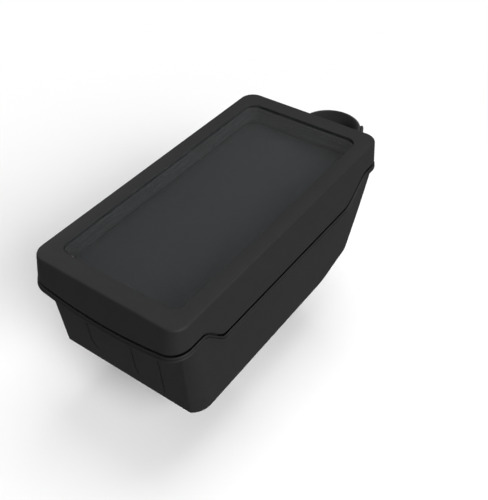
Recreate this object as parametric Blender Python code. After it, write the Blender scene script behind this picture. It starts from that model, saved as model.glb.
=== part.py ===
"""Hard-shell top-tube bag with a phone window, a hinged lid, a concealed zip and three straps.

Frame: metres, +Z up, +Y forward (the way the bicycle rides), +X to the rider's right.
The origin is on the rubber seat under the bag, where it lies on the top tube, below the lid's centre.
"""
import math

import bmesh
import bpy
import numpy as np

# Clearances
GAP = 0.0003             # between pieces that touch
SLIDER_CLEARANCE = 0.0005

# Overall heights above the tube
SEAT_HEIGHT = 0.0040     # rubber seat, from the tube to the underside of the base
BODY_HEIGHT = 0.0680     # underside of the base to the top of the lid
BASE_BOTTOM = SEAT_HEIGHT
LID_TOP = BASE_BOTTOM + BODY_HEIGHT

# Lid, measured at its top edge; the walls flare outwards on the way down
LID_HALF_WIDTH = 0.0462
LID_HALF_LENGTH = 0.0925
LID_CORNER_RADIUS = 0.0085
LID_EDGE_ROUND = 0.0030
LID_WALL = 0.0032
LID_TOP_THICKNESS = 0.0026
FLARE_SIDE = 0.095
FLARE_REAR = 0.155
FLARE_FRONT = 0.045

# Seam between lid and base, as depths below the lid's top
SEAM_DEPTH_ENDS = 0.0140
SEAM_DEPTH_SIDES = 0.0254
SEAM_DEPTH_REAR = 0.0191
SEAM_GAP = 0.0012
REAR_STEP_INSET = 0.0160     # from the lid's rear end to where the seam starts to drop
REAR_STEP_LENGTH = 0.0157
FRONT_STEP_INSET = 0.0235    # from the lid's front end to where it is up again
FRONT_STEP_LENGTH = 0.0210
REAR_STEP_START = REAR_STEP_INSET - LID_HALF_LENGTH
REAR_STEP_END = REAR_STEP_START + REAR_STEP_LENGTH
FRONT_STEP_END = LID_HALF_LENGTH - FRONT_STEP_INSET
FRONT_STEP_START = FRONT_STEP_END - FRONT_STEP_LENGTH
REAR_BOW_POWER = 0.8

# Window in the lid and the phone pocket under it
FRAME_SIDE = 0.0090          # width of the lid's frame round the window
FRAME_REAR = 0.0110
FRAME_FRONT = 0.0105
WINDOW_HALF_WIDTH = LID_HALF_WIDTH - FRAME_SIDE
WINDOW_REAR = LID_HALF_LENGTH - FRAME_REAR
WINDOW_FRONT = LID_HALF_LENGTH - FRAME_FRONT
WINDOW_RADIUS = 0.0060
WINDOW_BEVEL = 0.0007
FILM_THICKNESS = 0.0005
FILM_OVERLAP = 0.0035
BINDING_THICKNESS = 0.0010
POCKET_HEIGHT = 0.0095
POCKET_SIDE = 0.0008
POCKET_MARGIN = 0.0026       # the pocket is this much larger than the window all round
POCKET_HALF_WIDTH = WINDOW_HALF_WIDTH + POCKET_MARGIN
POCKET_REAR = WINDOW_REAR + POCKET_MARGIN
POCKET_FRONT = WINDOW_FRONT + POCKET_MARGIN
POCKET_RADIUS = 0.0080
BACKING_THICKNESS = 0.0025
CLOSING_TAB_WIDTH = 0.0300
CLOSING_TAB_THICKNESS = 0.0012

# Base tub, tapering from under its lip to the bottom
LIP_HEIGHT = 0.0028
LIP_PROUD = 0.0004
LIP_SKIN = 0.0014
LIP_LEDGE = 0.0008
BASE_WALL = 0.0032
BASE_SIDE_PROUD = 0.0010     # wall under the lip against the lid's top edge, at the sides and ends
BASE_REAR_INSET = 0.0041
BASE_FRONT_INSET = 0.0023
BASE_SIDE_TAPER = 0.0002     # how far each wall comes in on the way down
BASE_REAR_TAPER = 0.0037
BASE_NOSE_TAPER = 0.0262
BASE_TOP_HALF_WIDTH = LID_HALF_WIDTH + BASE_SIDE_PROUD
BASE_TOP_REAR = LID_HALF_LENGTH - BASE_REAR_INSET
BASE_TOP_FRONT = LID_HALF_LENGTH - BASE_FRONT_INSET
BASE_BOTTOM_HALF_WIDTH = BASE_TOP_HALF_WIDTH - BASE_SIDE_TAPER
BASE_BOTTOM_REAR = BASE_TOP_REAR - BASE_REAR_TAPER
BASE_BOTTOM_FRONT = BASE_TOP_FRONT - BASE_NOSE_TAPER
BASE_REAR_RADIUS = 0.0092
BASE_FRONT_RADIUS = 0.0135
BASE_REAR_CREASE = math.radians(20)
BASE_EDGE_ROUND = 0.0025
BASE_NOSE_ROUND = 0.0120
REAR_LINES = (-0.0215, 0.0083, 0.0263)    # x of the lines pressed into the rear wall
REAR_LINE_WIDTH = 0.0010
REAR_LINE_DEPTH = 0.0007
REAR_LINE_LOW = 0.0080       # above the underside of the base
REAR_LINE_RUN = 0.0015       # length over which a line runs out at its ends

# Concealed zip: tapes inside the walls, the slider's outer plate in a rebate behind the edges
ZIP_FRONT_END = FRONT_STEP_START
ZIP_SIDE_INSET = 0.0028
ZIP_REAR_INSET = 0.0023
ZIP_HALF_WIDTH = LID_HALF_WIDTH - ZIP_SIDE_INSET
ZIP_REAR = LID_HALF_LENGTH - ZIP_REAR_INSET
ZIP_RADIUS = 0.0060
TAPE_THICKNESS = 0.0005
TAPE_HEIGHT = 0.0085
TAPE_BEND = 0.0010
TAPE_TAPER_BEFORE = 0.0050   # the lower tape gets shorter over this much before and after the step
TAPE_TAPER_AFTER = 0.0030
COIL_THICKNESS = 0.0014
COIL_HEIGHT = 0.0017
CHAIN_HALF_GAP = 0.0005
REBATE_HEIGHT = 0.0042
SLIDER_LENGTH = 0.0085
SLIDER_PLATE = 0.0011
SLIDER_HALF_HEIGHT = 0.0030
SLIDER_NECK = 0.0005
SLIDER_INSET = 0.0020
SLIDER_FRONT = ZIP_FRONT_END - SLIDER_INSET
ZIP_STOP_LENGTH = 0.0020
BAIL_RADIUS = 0.0007
BAIL_WIDTH = 0.0062
BAIL_CHEEK = 0.0009
BAIL_STANDOFF = 0.0034
CHEEK_HEIGHT = 0.0022
CHEEK_BITE = 0.0005
PULL_EYE_RADIUS = 0.0019
PULL_EYE_WIDTH = 0.0040
PULL_TIP = 0.0010
PULL_LENGTH = 0.0240
PULL_WIDTH = 0.0070
PULL_THICKNESS = 0.0016

# Fabric hinge across the front seam
HINGE_HALF_WIDTH = 0.0320
HINGE_TAPE_HEIGHT = 0.0085
HINGE_TAPE_THICKNESS = 0.0008

# Straps and their keepers
STRAP_THICKNESS = 0.0016
TUBE_STRAP_WIDTH = 0.0250
REAR_STRAP_INSET = 0.0412    # from the ends of the base's underside to the middles of the straps
FRONT_STRAP_INSET = 0.0317
TUBE_STRAP_PLACES = {"rear": REAR_STRAP_INSET - BASE_BOTTOM_REAR,
                     "front": BASE_BOTTOM_FRONT - FRONT_STRAP_INSET}
TUBE_LOOP_HALF_WIDTH = 0.0202
TUBE_LOOP_BOTTOM = -0.0385
TUBE_LOOP_TOP_RADIUS = 0.0060
TUBE_LOOP_BOTTOM_RADIUS = 0.0090
STRAP_OVERLAP = 0.0240
STRAP_END_MARGIN = 0.0015
KEEPER_THICKNESS = 0.0012
KEEPER_WIDTH = 0.0180
KEEPER_STITCH = 0.0060
KEEPER_SLOPE = 0.0022
KEEPER_RISE = 0.0018
KEEPER_CLEARANCE = 0.0005
STEERER_STRAP_WIDTH = 0.0200
STEERER_STRAP_TOP_DEPTH = 0.0215
STEERER_LOOP_RADIUS = 0.0190
STEERER_LOOP_REAR_RADIUS = 0.0060
STEERER_OVERLAP_TURN = 45    # degrees of the front arc
NOSE_PAD_PROUD = 0.0014
NOSE_PAD_FACE = BASE_TOP_FRONT + NOSE_PAD_PROUD
NOSE_PAD_HALF_WIDTH = 0.0240
NOSE_PAD_BITE = 0.0015
NOSE_PAD_CHAMFER = 0.0040
STEERER_REACH = 0.0244
STEERER_CENTRE = NOSE_PAD_FACE + STEERER_REACH

# Rubber seat between the straps
SEAT_HALF_WIDTH = 0.0150
KEEPER_REACH = TUBE_STRAP_WIDTH / 2 + KEEPER_CLEARANCE + KEEPER_SLOPE + KEEPER_STITCH
SEAT_CLEARANCE = 0.0010
SEAT_REAR = TUBE_STRAP_PLACES["rear"] + KEEPER_REACH + SEAT_CLEARANCE
SEAT_FRONT = TUBE_STRAP_PLACES["front"] - KEEPER_REACH - SEAT_CLEARANCE
SEAT_GROOVE_WIDTH = 0.0022
SEAT_GROOVE_DEPTH = 0.0012
SEAT_GROOVE_PITCH = 0.0120

# Faceting
CORNER_STEPS = 7
STEP_STEPS = 8
END_STEPS = 12
RUN_STEPS = 3
END_MARGIN = 0.0020
SMALLEST_RADIUS = 0.0015

BLACK_SHELL = (0.022, 0.022, 0.023, 1.0)
BLACK_FABRIC = (0.014, 0.014, 0.015, 1.0)
BLACK_RUBBER = (0.010, 0.010, 0.011, 1.0)
DARK_METAL = (0.080, 0.080, 0.085, 1.0)
CLEAR_FILM = (0.900, 0.920, 0.930, 1.0)


def clear_scene():
    for item in list(bpy.data.objects):
        bpy.data.objects.remove(item, do_unlink=True)


def make_material(name, colour, roughness, metallic=0.0, transmission=0.0):
    material = bpy.data.materials.new(name)
    material.use_nodes = True
    shader = material.node_tree.nodes["Principled BSDF"]
    shader.inputs["Base Color"].default_value = colour
    shader.inputs["Roughness"].default_value = roughness
    shader.inputs["Metallic"].default_value = metallic
    shader.inputs["Transmission Weight"].default_value = transmission
    return material


def add_object(name, mesh, material, origin=(0.0, 0.0, 0.0), sharp_angle=35.0):
    """Link a mesh whose points are in world coordinates as an object with the given origin."""
    obj = bpy.data.objects.new(name, mesh)
    bpy.context.collection.objects.link(obj)
    mesh.materials.append(material)
    coordinates = np.empty(len(mesh.vertices) * 3)
    mesh.vertices.foreach_get("co", coordinates)
    shifted = coordinates.reshape(-1, 3) - np.array(origin)
    mesh.vertices.foreach_set("co", shifted.ravel())
    obj.location = origin
    mesh.shade_smooth()
    mesh.set_sharp_from_angle(angle=math.radians(sharp_angle))
    mesh.update()
    return obj


def mesh_from(name, points, faces):
    """Make a closed mesh with its faces pointing outwards."""
    builder = bmesh.new()
    vertices = [builder.verts.new(point) for point in points]
    for face in faces:
        builder.faces.new([vertices[index] for index in face])
    bmesh.ops.recalc_face_normals(builder, faces=builder.faces)
    mesh = bpy.data.meshes.new(name)
    builder.to_mesh(mesh)
    builder.free()
    return mesh


def loft(name, rings, closed=False):
    """Join rings of equal point count; closed joins the last ring to the first, else both get caps."""
    count = len(rings[0])
    points = np.concatenate(rings)
    faces = []
    spans = len(rings) if closed else len(rings) - 1
    for level in range(spans):
        low = level * count
        high = ((level + 1) % len(rings)) * count
        for index in range(count):
            after = (index + 1) % count
            faces.append((low + index, low + after, high + after, high + index))
    if not closed:
        faces.append(tuple(range(count)))
        faces.append(tuple(range(len(points) - count, len(points))))
    return mesh_from(name, points.tolist(), faces)


def prism(name, polygon, axis, low, high):
    """Extrude a polygon, given in the two axes that follow axis in X, Y, Z order, from low to high."""
    order = {"x": (1, 2, 0), "y": (0, 2, 1), "z": (0, 1, 2)}[axis]
    rings = []
    for level in (low, high):
        ring = np.zeros((len(polygon), 3))
        ring[:, order[0]] = [point[0] for point in polygon]
        ring[:, order[1]] = [point[1] for point in polygon]
        ring[:, order[2]] = level
        rings.append(ring)
    return loft(name, rings)


def box(name, low, high):
    polygon = [(low[0], low[1]), (high[0], low[1]), (high[0], high[1]), (low[0], high[1])]
    return prism(name, polygon, "z", low[2], high[2])


def combine(obj, tool, operation):
    """Apply an exact Boolean with a tool object, then delete the tool."""
    modifier = obj.modifiers.new(operation.title(), "BOOLEAN")
    modifier.operation = operation
    modifier.solver = "EXACT"
    modifier.object = tool
    graph = bpy.context.evaluated_depsgraph_get()
    result = bpy.data.meshes.new_from_object(obj.evaluated_get(graph))
    obj.modifiers.clear()
    old = obj.data
    obj.data = result
    bpy.data.meshes.remove(old)
    bpy.data.objects.remove(tool, do_unlink=True)


def ease(value):
    """Smooth step from 0 to 1."""
    value = np.clip(value, 0.0, 1.0)
    return value * value * (3.0 - 2.0 * value)


# Stations round the bag, counter-clockwise from the rear end of the right side. Each ring of each
# shell has one point at every station, so walls of different size join without twisting.
REAR_CORNER = -LID_HALF_LENGTH + LID_CORNER_RADIUS
FRONT_CORNER = LID_HALF_LENGTH - LID_CORNER_RADIUS
SIDE_Y = np.concatenate([
    np.linspace(REAR_CORNER, REAR_STEP_START, 3, endpoint=False),
    np.linspace(REAR_STEP_START, REAR_STEP_END, STEP_STEPS, endpoint=False),
    np.linspace(REAR_STEP_END, FRONT_STEP_START, RUN_STEPS, endpoint=False),
    np.linspace(FRONT_STEP_START, FRONT_STEP_END, STEP_STEPS, endpoint=False),
    np.linspace(FRONT_STEP_END, FRONT_CORNER, 3),
])
END_T = np.linspace(0.0, 1.0, END_STEPS + 1)
REAR_FLAT = BASE_TOP_HALF_WIDTH - BASE_REAR_RADIUS * (1.0 - math.sin(BASE_REAR_CREASE))
LINE_T = 0.5 + np.array(REAR_LINES) / REAR_FLAT / 2
LINE_SIDE_T = np.array([-1.0, 1.0])[:, None] * REAR_LINE_WIDTH / REAR_FLAT / 4 + LINE_T
REAR_T = np.unique(np.concatenate([END_T, LINE_T, LINE_SIDE_T.ravel()]))
ARC_T = np.linspace(0.0, 1.0, CORNER_STEPS + 1)[1:-1]
SECTIONS = [("side", SIDE_Y), ("front_arc", ARC_T), ("front", END_T), ("left_front_arc", ARC_T),
            ("left_side", SIDE_Y[::-1]), ("rear_arc", ARC_T), ("rear", REAR_T), ("right_rear_arc", ARC_T)]
KIND = np.concatenate([[name] * len(values) for name, values in SECTIONS])
PLACE = np.concatenate([values for name, values in SECTIONS])
COUNT = len(PLACE)


def side_places(rear_centre, front_centre):
    """The y of each side station: kept between the seam's steps, stretched from there to the corners."""
    step_start = np.maximum(REAR_STEP_START, rear_centre + END_MARGIN)
    step_end = np.minimum(FRONT_STEP_END, front_centre - END_MARGIN)
    to_rear = (PLACE - REAR_CORNER) / (REAR_STEP_START - REAR_CORNER)
    middle = (PLACE - REAR_STEP_START) / (FRONT_STEP_END - REAR_STEP_START)
    to_front = (PLACE - FRONT_STEP_END) / (FRONT_CORNER - FRONT_STEP_END)
    return np.where(PLACE < REAR_STEP_START, rear_centre + (step_start - rear_centre) * to_rear,
                    np.where(PLACE < FRONT_STEP_END, step_start + (step_end - step_start) * middle,
                             step_end + (front_centre - step_end) * to_front))


def outline(half_width, rear, front, rear_radius, front_radius, crease=0.0):
    """Rounded rectangle as one x, y point per station; sizes are numbers or one value per station.

    A corner is its centre plus radius times (cos, sin) of the turning angle. With a crease, the rear
    corners' arcs start at that angle from the rear face, so they meet it in an edge.
    """
    width, back, fore, round_rear, round_front = [
        np.broadcast_to(value, (COUNT,)) for value in (half_width, rear, front, rear_radius, front_radius)]
    rear_centre = -back + round_rear * math.cos(crease)
    front_centre = fore - round_front
    x = np.empty(COUNT)
    y = np.empty(COUNT)
    along = side_places(rear_centre, front_centre)
    for name, sign in (("side", 1.0), ("left_side", -1.0)):
        pick = KIND == name
        x[pick] = sign * width[pick]
        y[pick] = along[pick]
    reach = width - round_front
    pick = KIND == "front"
    x[pick] = (reach * (1.0 - 2.0 * PLACE))[pick]
    y[pick] = fore[pick]
    reach = width - round_rear + round_rear * math.sin(crease)
    pick = KIND == "rear"
    x[pick] = (reach * (2.0 * PLACE - 1.0))[pick]
    y[pick] = -back[pick]
    quarter = math.pi / 2
    turn = quarter - crease
    arcs = [("front_arc", 1.0, PLACE * quarter), ("left_front_arc", -1.0, (1.0 - PLACE) * quarter)]
    for name, sign, angle in arcs:
        pick = KIND == name
        x[pick] = (sign * (width - round_front + round_front * np.cos(angle)))[pick]
        y[pick] = (front_centre + round_front * np.sin(angle))[pick]
    arcs = [("rear_arc", -1.0, PLACE * turn), ("right_rear_arc", 1.0, (1.0 - PLACE) * turn)]
    for name, sign, angle in arcs:
        pick = KIND == name
        x[pick] = (sign * (width - round_rear + round_rear * np.cos(angle)))[pick]
        y[pick] = (rear_centre - round_rear * np.sin(angle))[pick]
    return np.column_stack([x, y])


def ring(flat, height):
    """Give an outline its height, a number or one value per station."""
    return np.column_stack([flat, np.broadcast_to(height, (len(flat),))])


def lid_outline(depth, inset=0.0):
    """Outline of the lid's flared wall at a depth below its top, moved inwards by inset."""
    radius = np.maximum(LID_CORNER_RADIUS + FLARE_SIDE * depth - inset, SMALLEST_RADIUS)
    return outline(LID_HALF_WIDTH + FLARE_SIDE * depth - inset,
                   LID_HALF_LENGTH + FLARE_REAR * depth - inset,
                   LID_HALF_LENGTH + FLARE_FRONT * depth - inset, radius, radius)


TOP_EDGE = lid_outline(0.0)


def seam_depth():
    """Depth of the seam's middle below the lid's top at each station.

    It is shallow at the corners, deep along the sides between the two steps, and bows down across the
    rear as a half cosine.
    """
    x, y = TOP_EDGE[:, 0], TOP_EDGE[:, 1]
    on_side = (KIND == "side") | (KIND == "left_side")
    down = ease((y - REAR_STEP_START) / (REAR_STEP_END - REAR_STEP_START))
    up = ease((y - FRONT_STEP_START) / (FRONT_STEP_END - FRONT_STEP_START))
    depth = SEAM_DEPTH_ENDS + (SEAM_DEPTH_SIDES - SEAM_DEPTH_ENDS) * down * (1.0 - up) * on_side
    behind = y < REAR_CORNER
    bow = np.cos(np.clip(x / LID_HALF_WIDTH, -1.0, 1.0) * math.pi / 2) ** REAR_BOW_POWER
    return depth + (SEAM_DEPTH_REAR - SEAM_DEPTH_ENDS) * bow * behind


SEAM = seam_depth()
EDGE = SEAM - SEAM_GAP / 2      # the lid's lower edge
RIM = SEAM + SEAM_GAP / 2       # the base's upper edge
UNDER_LIP = SEAM_DEPTH_ENDS + SEAM_GAP / 2 + LIP_HEIGHT


def end_share():
    """1 across both ends and their corners, easing to 0 along the sides before the seam's steps."""
    y = TOP_EDGE[:, 1]
    rear = ease((REAR_STEP_START - y) / (REAR_STEP_START - REAR_CORNER))
    front = ease((y - FRONT_STEP_END) / (FRONT_CORNER - FRONT_STEP_END))
    return rear + front


def rebate_inset():
    """How far behind the outer face the slider's outer plate needs the walls cut back."""
    space = ZIP_HALF_WIDTH + TAPE_THICKNESS / 2 + SLIDER_PLATE + 2 * SLIDER_CLEARANCE
    return LID_HALF_WIDTH + FLARE_SIDE * SEAM_DEPTH_SIDES - space


def hinge_point():
    """Middle of the front seam, on the outer face of the lid's front wall."""
    return (0.0, LID_HALF_LENGTH + FLARE_FRONT * SEAM_DEPTH_ENDS, LID_TOP - SEAM_DEPTH_ENDS)


def build_lid(materials):
    """Lid: one profile swept round the window, with a rounded top edge and a rebated lower edge."""
    window = outline(WINDOW_HALF_WIDTH, WINDOW_REAR, WINDOW_FRONT, WINDOW_RADIUS, WINDOW_RADIUS)
    window_top = outline(WINDOW_HALF_WIDTH + WINDOW_BEVEL, WINDOW_REAR + WINDOW_BEVEL,
                         WINDOW_FRONT + WINDOW_BEVEL, WINDOW_RADIUS + WINDOW_BEVEL,
                         WINDOW_RADIUS + WINDOW_BEVEL)
    rings = [ring(window, LID_TOP - LID_TOP_THICKNESS), ring(window, LID_TOP - WINDOW_BEVEL),
             ring(window_top, LID_TOP)]
    for angle in np.radians([0, 22.5, 45, 67.5, 90]):
        inset = LID_EDGE_ROUND * (1.0 - math.sin(angle))
        depth = LID_EDGE_ROUND * (1.0 - math.cos(angle))
        rings.append(ring(lid_outline(depth, inset), LID_TOP - depth))
    shoulder = EDGE - REBATE_HEIGHT
    ceiling = LID_TOP_THICKNESS
    rings += [ring(lid_outline(EDGE), LID_TOP - EDGE),
              ring(lid_outline(EDGE, rebate_inset()), LID_TOP - EDGE),
              ring(lid_outline(EDGE, rebate_inset()), LID_TOP - shoulder),
              ring(lid_outline(shoulder, LID_WALL), LID_TOP - shoulder),
              ring(lid_outline(ceiling, LID_WALL), LID_TOP - ceiling)]
    mesh = loft("lid_shell", rings, closed=True)
    add_object("lid_shell", mesh, materials["shell"], hinge_point())


def way_down(height):
    """0 under the lip at the corners, 1 at the underside of the base."""
    top = LID_TOP - UNDER_LIP
    return (top - height) / (top - BASE_BOTTOM)


def nose_slope(height, inset=0.0):
    """The y of the sloping front wall at a height, moved inwards by inset."""
    return BASE_TOP_FRONT + (BASE_BOTTOM_FRONT - BASE_TOP_FRONT) * way_down(height) - inset


def rear_wall(height):
    """Distance of the rear wall's outer face behind the origin at a height."""
    return BASE_TOP_REAR + (BASE_BOTTOM_REAR - BASE_TOP_REAR) * way_down(height)


def base_outline(height, inset=0.0):
    """Outline of the base's tapering wall at a height, moved inwards by inset."""
    half_width = BASE_TOP_HALF_WIDTH + (BASE_BOTTOM_HALF_WIDTH - BASE_TOP_HALF_WIDTH) * way_down(height)
    return outline(half_width - inset, rear_wall(height) - inset, nose_slope(height, inset),
                   np.maximum(BASE_REAR_RADIUS - inset, SMALLEST_RADIUS),
                   np.maximum(BASE_FRONT_RADIUS - inset, SMALLEST_RADIUS), BASE_REAR_CREASE)


def bottom_round():
    """Radius of the bottom edge at each station: small at the sides and rear, large under the nose."""
    share = ease((TOP_EDGE[:, 1] - FRONT_STEP_START) / (FRONT_CORNER - FRONT_STEP_START))
    return BASE_EDGE_ROUND + (BASE_NOSE_ROUND - BASE_EDGE_ROUND) * share


def ledge_height():
    """Height at each station of the step inside the base where the lower zip tape ends."""
    sides = LID_TOP - RIM - REBATE_HEIGHT + SEAM_GAP / 2
    ends = LID_TOP - RIM - LIP_HEIGHT + LIP_LEDGE
    return sides + (ends - sides) * end_share()


def build_base(materials):
    """Base tub: tapered walls, sloping nose, a lip under the seam and a ledge for the zip behind."""
    radius = bottom_round()
    rings = []
    for angle in np.radians([90, 67.5, 45, 22.5, 0]):
        height = BASE_BOTTOM + radius * (1.0 - math.sin(angle))
        inset = radius * (1.0 - math.cos(angle))
        rings.append(ring(base_outline(height, inset), height))
    rim = LID_TOP - RIM
    under_lip = rim - LIP_HEIGHT
    line_low = BASE_BOTTOM + np.maximum(radius + REAR_LINE_RUN, REAR_LINE_LOW)
    pressed = np.where((KIND == "rear") & np.isin(PLACE, LINE_T), REAR_LINE_DEPTH, 0.0)
    for height, depth in ((line_low, 0.0), (line_low + REAR_LINE_RUN, pressed),
                          (under_lip - REAR_LINE_RUN, pressed)):
        flat = base_outline(height)
        flat[:, 1] += depth
        rings.append(ring(flat, height))
    ledge = ledge_height()
    skin = lid_outline(RIM, rebate_inset() + (LIP_SKIN - rebate_inset()) * end_share())
    rings += [ring(base_outline(under_lip), under_lip),
              ring(lid_outline(RIM + LIP_HEIGHT, -LIP_PROUD), under_lip),
              ring(lid_outline(RIM, -LIP_PROUD), rim),
              ring(skin, rim),
              ring(skin, ledge),
              ring(base_outline(ledge, BASE_WALL), ledge)]
    inner_bottom = BASE_BOTTOM + BASE_WALL
    inner_radius = np.maximum(radius - BASE_WALL, SMALLEST_RADIUS)
    for angle in np.radians([0, 30, 60, 90]):
        height = inner_bottom + inner_radius * (1.0 - math.sin(angle))
        inset = BASE_WALL + inner_radius * (1.0 - math.cos(angle))
        rings.append(ring(base_outline(height, inset), height))
    base = add_object("base_shell", loft("base_shell", rings), materials["shell"])
    combine(base, build_nose_pad(materials), "UNION")


def strap_band():
    """Lowest and highest z of the steerer strap."""
    top = LID_TOP - STEERER_STRAP_TOP_DEPTH
    return top - STEERER_STRAP_WIDTH, top


def build_nose_pad(materials):
    """Upright pad moulded on the sloping nose, on which the steerer strap lies."""
    low = strap_band()[0] - KEEPER_STITCH
    foot = low - NOSE_PAD_CHAMFER
    high = LID_TOP - UNDER_LIP + LIP_LEDGE / 2
    polygon = [(NOSE_PAD_FACE, high), (nose_slope(high, NOSE_PAD_BITE), high),
               (nose_slope(foot, NOSE_PAD_BITE), foot), (nose_slope(foot), foot), (NOSE_PAD_FACE, low)]
    mesh = prism("nose_pad", polygon, "x", -NOSE_PAD_HALF_WIDTH, NOSE_PAD_HALF_WIDTH)
    return add_object("nose_pad", mesh, materials["shell"])


def plate(name, flat, low, high):
    """Flat plate with the given outline."""
    return loft(name, [ring(flat, low), ring(flat, high)])


def build_window(materials):
    """Film, its binding and the phone pocket hung under them, each a clearance below the last."""
    origin = hinge_point()
    half_width, rear, front, radius = [
        size + FILM_OVERLAP for size in (WINDOW_HALF_WIDTH, WINDOW_REAR, WINDOW_FRONT, WINDOW_RADIUS)]
    top = LID_TOP - LID_TOP_THICKNESS - GAP
    film = outline(half_width, rear, front, radius, radius)
    add_object("window_film", plate("window_film", film, top - FILM_THICKNESS, top),
               materials["film"], origin)
    top -= FILM_THICKNESS + GAP
    low = top - BINDING_THICKNESS
    opening = outline(WINDOW_HALF_WIDTH + GAP, WINDOW_REAR + GAP, WINDOW_FRONT + GAP,
                      WINDOW_RADIUS + GAP, WINDOW_RADIUS + GAP)
    rings = [ring(opening, low), ring(opening, top), ring(film, top), ring(film, low)]
    add_object("film_binding", loft("film_binding", rings, closed=True), materials["fabric"], origin)
    top = low - GAP
    low = top - POCKET_HEIGHT
    outer = outline(POCKET_HALF_WIDTH, POCKET_REAR, POCKET_FRONT, POCKET_RADIUS, POCKET_RADIUS)
    inner = outline(POCKET_HALF_WIDTH - POCKET_SIDE, POCKET_REAR - POCKET_SIDE,
                    POCKET_FRONT - POCKET_SIDE, POCKET_RADIUS - POCKET_SIDE, POCKET_RADIUS - POCKET_SIDE)
    keep = np.flatnonzero(np.isin(KIND, ["side", "front_arc", "front", "left_front_arc", "left_side"]))
    add_object("pocket_gusset", band("pocket_gusset", outer, inner, low, top, keep),
               materials["fabric"], origin)
    backing_top = low - GAP
    add_object("pocket_backing", plate("pocket_backing", outer, backing_top - BACKING_THICKNESS,
                                       backing_top), materials["fabric"], origin)
    rear_face = -POCKET_REAR - GAP
    tab = box("pocket_closing_tab",
              (-CLOSING_TAB_WIDTH / 2, rear_face - CLOSING_TAB_THICKNESS, backing_top - BACKING_THICKNESS),
              (CLOSING_TAB_WIDTH / 2, rear_face, top))
    add_object("pocket_closing_tab", tab, materials["fabric"], origin)


def band(name, outer, inner, low, high, keep):
    """Upright strip between two outlines over the stations in keep, with one height or one per station."""
    low = np.broadcast_to(low, (COUNT,))
    high = np.broadcast_to(high, (COUNT,))
    rings = []
    for station in keep:
        outside, inside = outer[station], inner[station]
        rings.append(np.array([[*outside, low[station]], [*outside, high[station]],
                               [*inside, high[station]], [*inside, low[station]]]))
    return loft(name, rings)


def build_hinge(materials):
    """Fabric strips of the hinge: one inside the lid's front wall, one inside the sloping nose."""
    edge = SEAM_DEPTH_ENDS - SEAM_GAP / 2
    top = edge - HINGE_TAPE_HEIGHT
    face = LID_HALF_LENGTH + FLARE_FRONT * top - LID_WALL - GAP
    mesh = box("hinge_tape_upper", (-HINGE_HALF_WIDTH, face - HINGE_TAPE_THICKNESS, LID_TOP - edge),
               (HINGE_HALF_WIDTH, face, LID_TOP - top))
    add_object("hinge_tape_upper", mesh, materials["fabric"], hinge_point())
    high = LID_TOP - UNDER_LIP + LIP_LEDGE
    low = high - HINGE_TAPE_HEIGHT
    slope = (nose_slope(high) - nose_slope(low)) / (high - low)
    stretch = math.hypot(1.0, slope)
    outside = BASE_WALL + GAP * stretch
    inside = outside + HINGE_TAPE_THICKNESS * stretch
    polygon = [(nose_slope(low, outside), low), (nose_slope(high, outside), high),
               (nose_slope(high, inside), high), (nose_slope(low, inside), low)]
    mesh = prism("hinge_tape_lower", polygon, "x", -HINGE_HALF_WIDTH, HINGE_HALF_WIDTH)
    add_object("hinge_tape_lower", mesh, materials["fabric"])


def zip_outline(inset=0.0):
    """Path of the zip, moved inwards by inset."""
    radius = ZIP_RADIUS - inset
    return outline(ZIP_HALF_WIDTH - inset, ZIP_REAR - inset, LID_HALF_LENGTH - inset, radius, radius)


def zip_stations():
    """Stations from the zip's front end on the left, round the rear, to its front end on the right."""
    left = np.flatnonzero((KIND == "left_side") & (PLACE <= ZIP_FRONT_END + GAP))
    behind = np.flatnonzero(np.isin(KIND, ["rear_arc", "rear", "right_rear_arc"]))
    right = np.flatnonzero((KIND == "side") & (PLACE <= ZIP_FRONT_END + GAP))
    return np.concatenate([left, behind, right])


def sweep(name, levels, keep):
    """Strip through several levels, each an (outer, inner, depth) triple, over the stations in keep."""
    rings = []
    for station in keep:
        outside = [[*outer[station], LID_TOP - depth[station]] for outer, inner, depth in levels]
        inside = [[*inner[station], LID_TOP - depth[station]] for outer, inner, depth in levels]
        rings.append(np.array(outside + inside[::-1]))
    return loft(name, rings)


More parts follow.
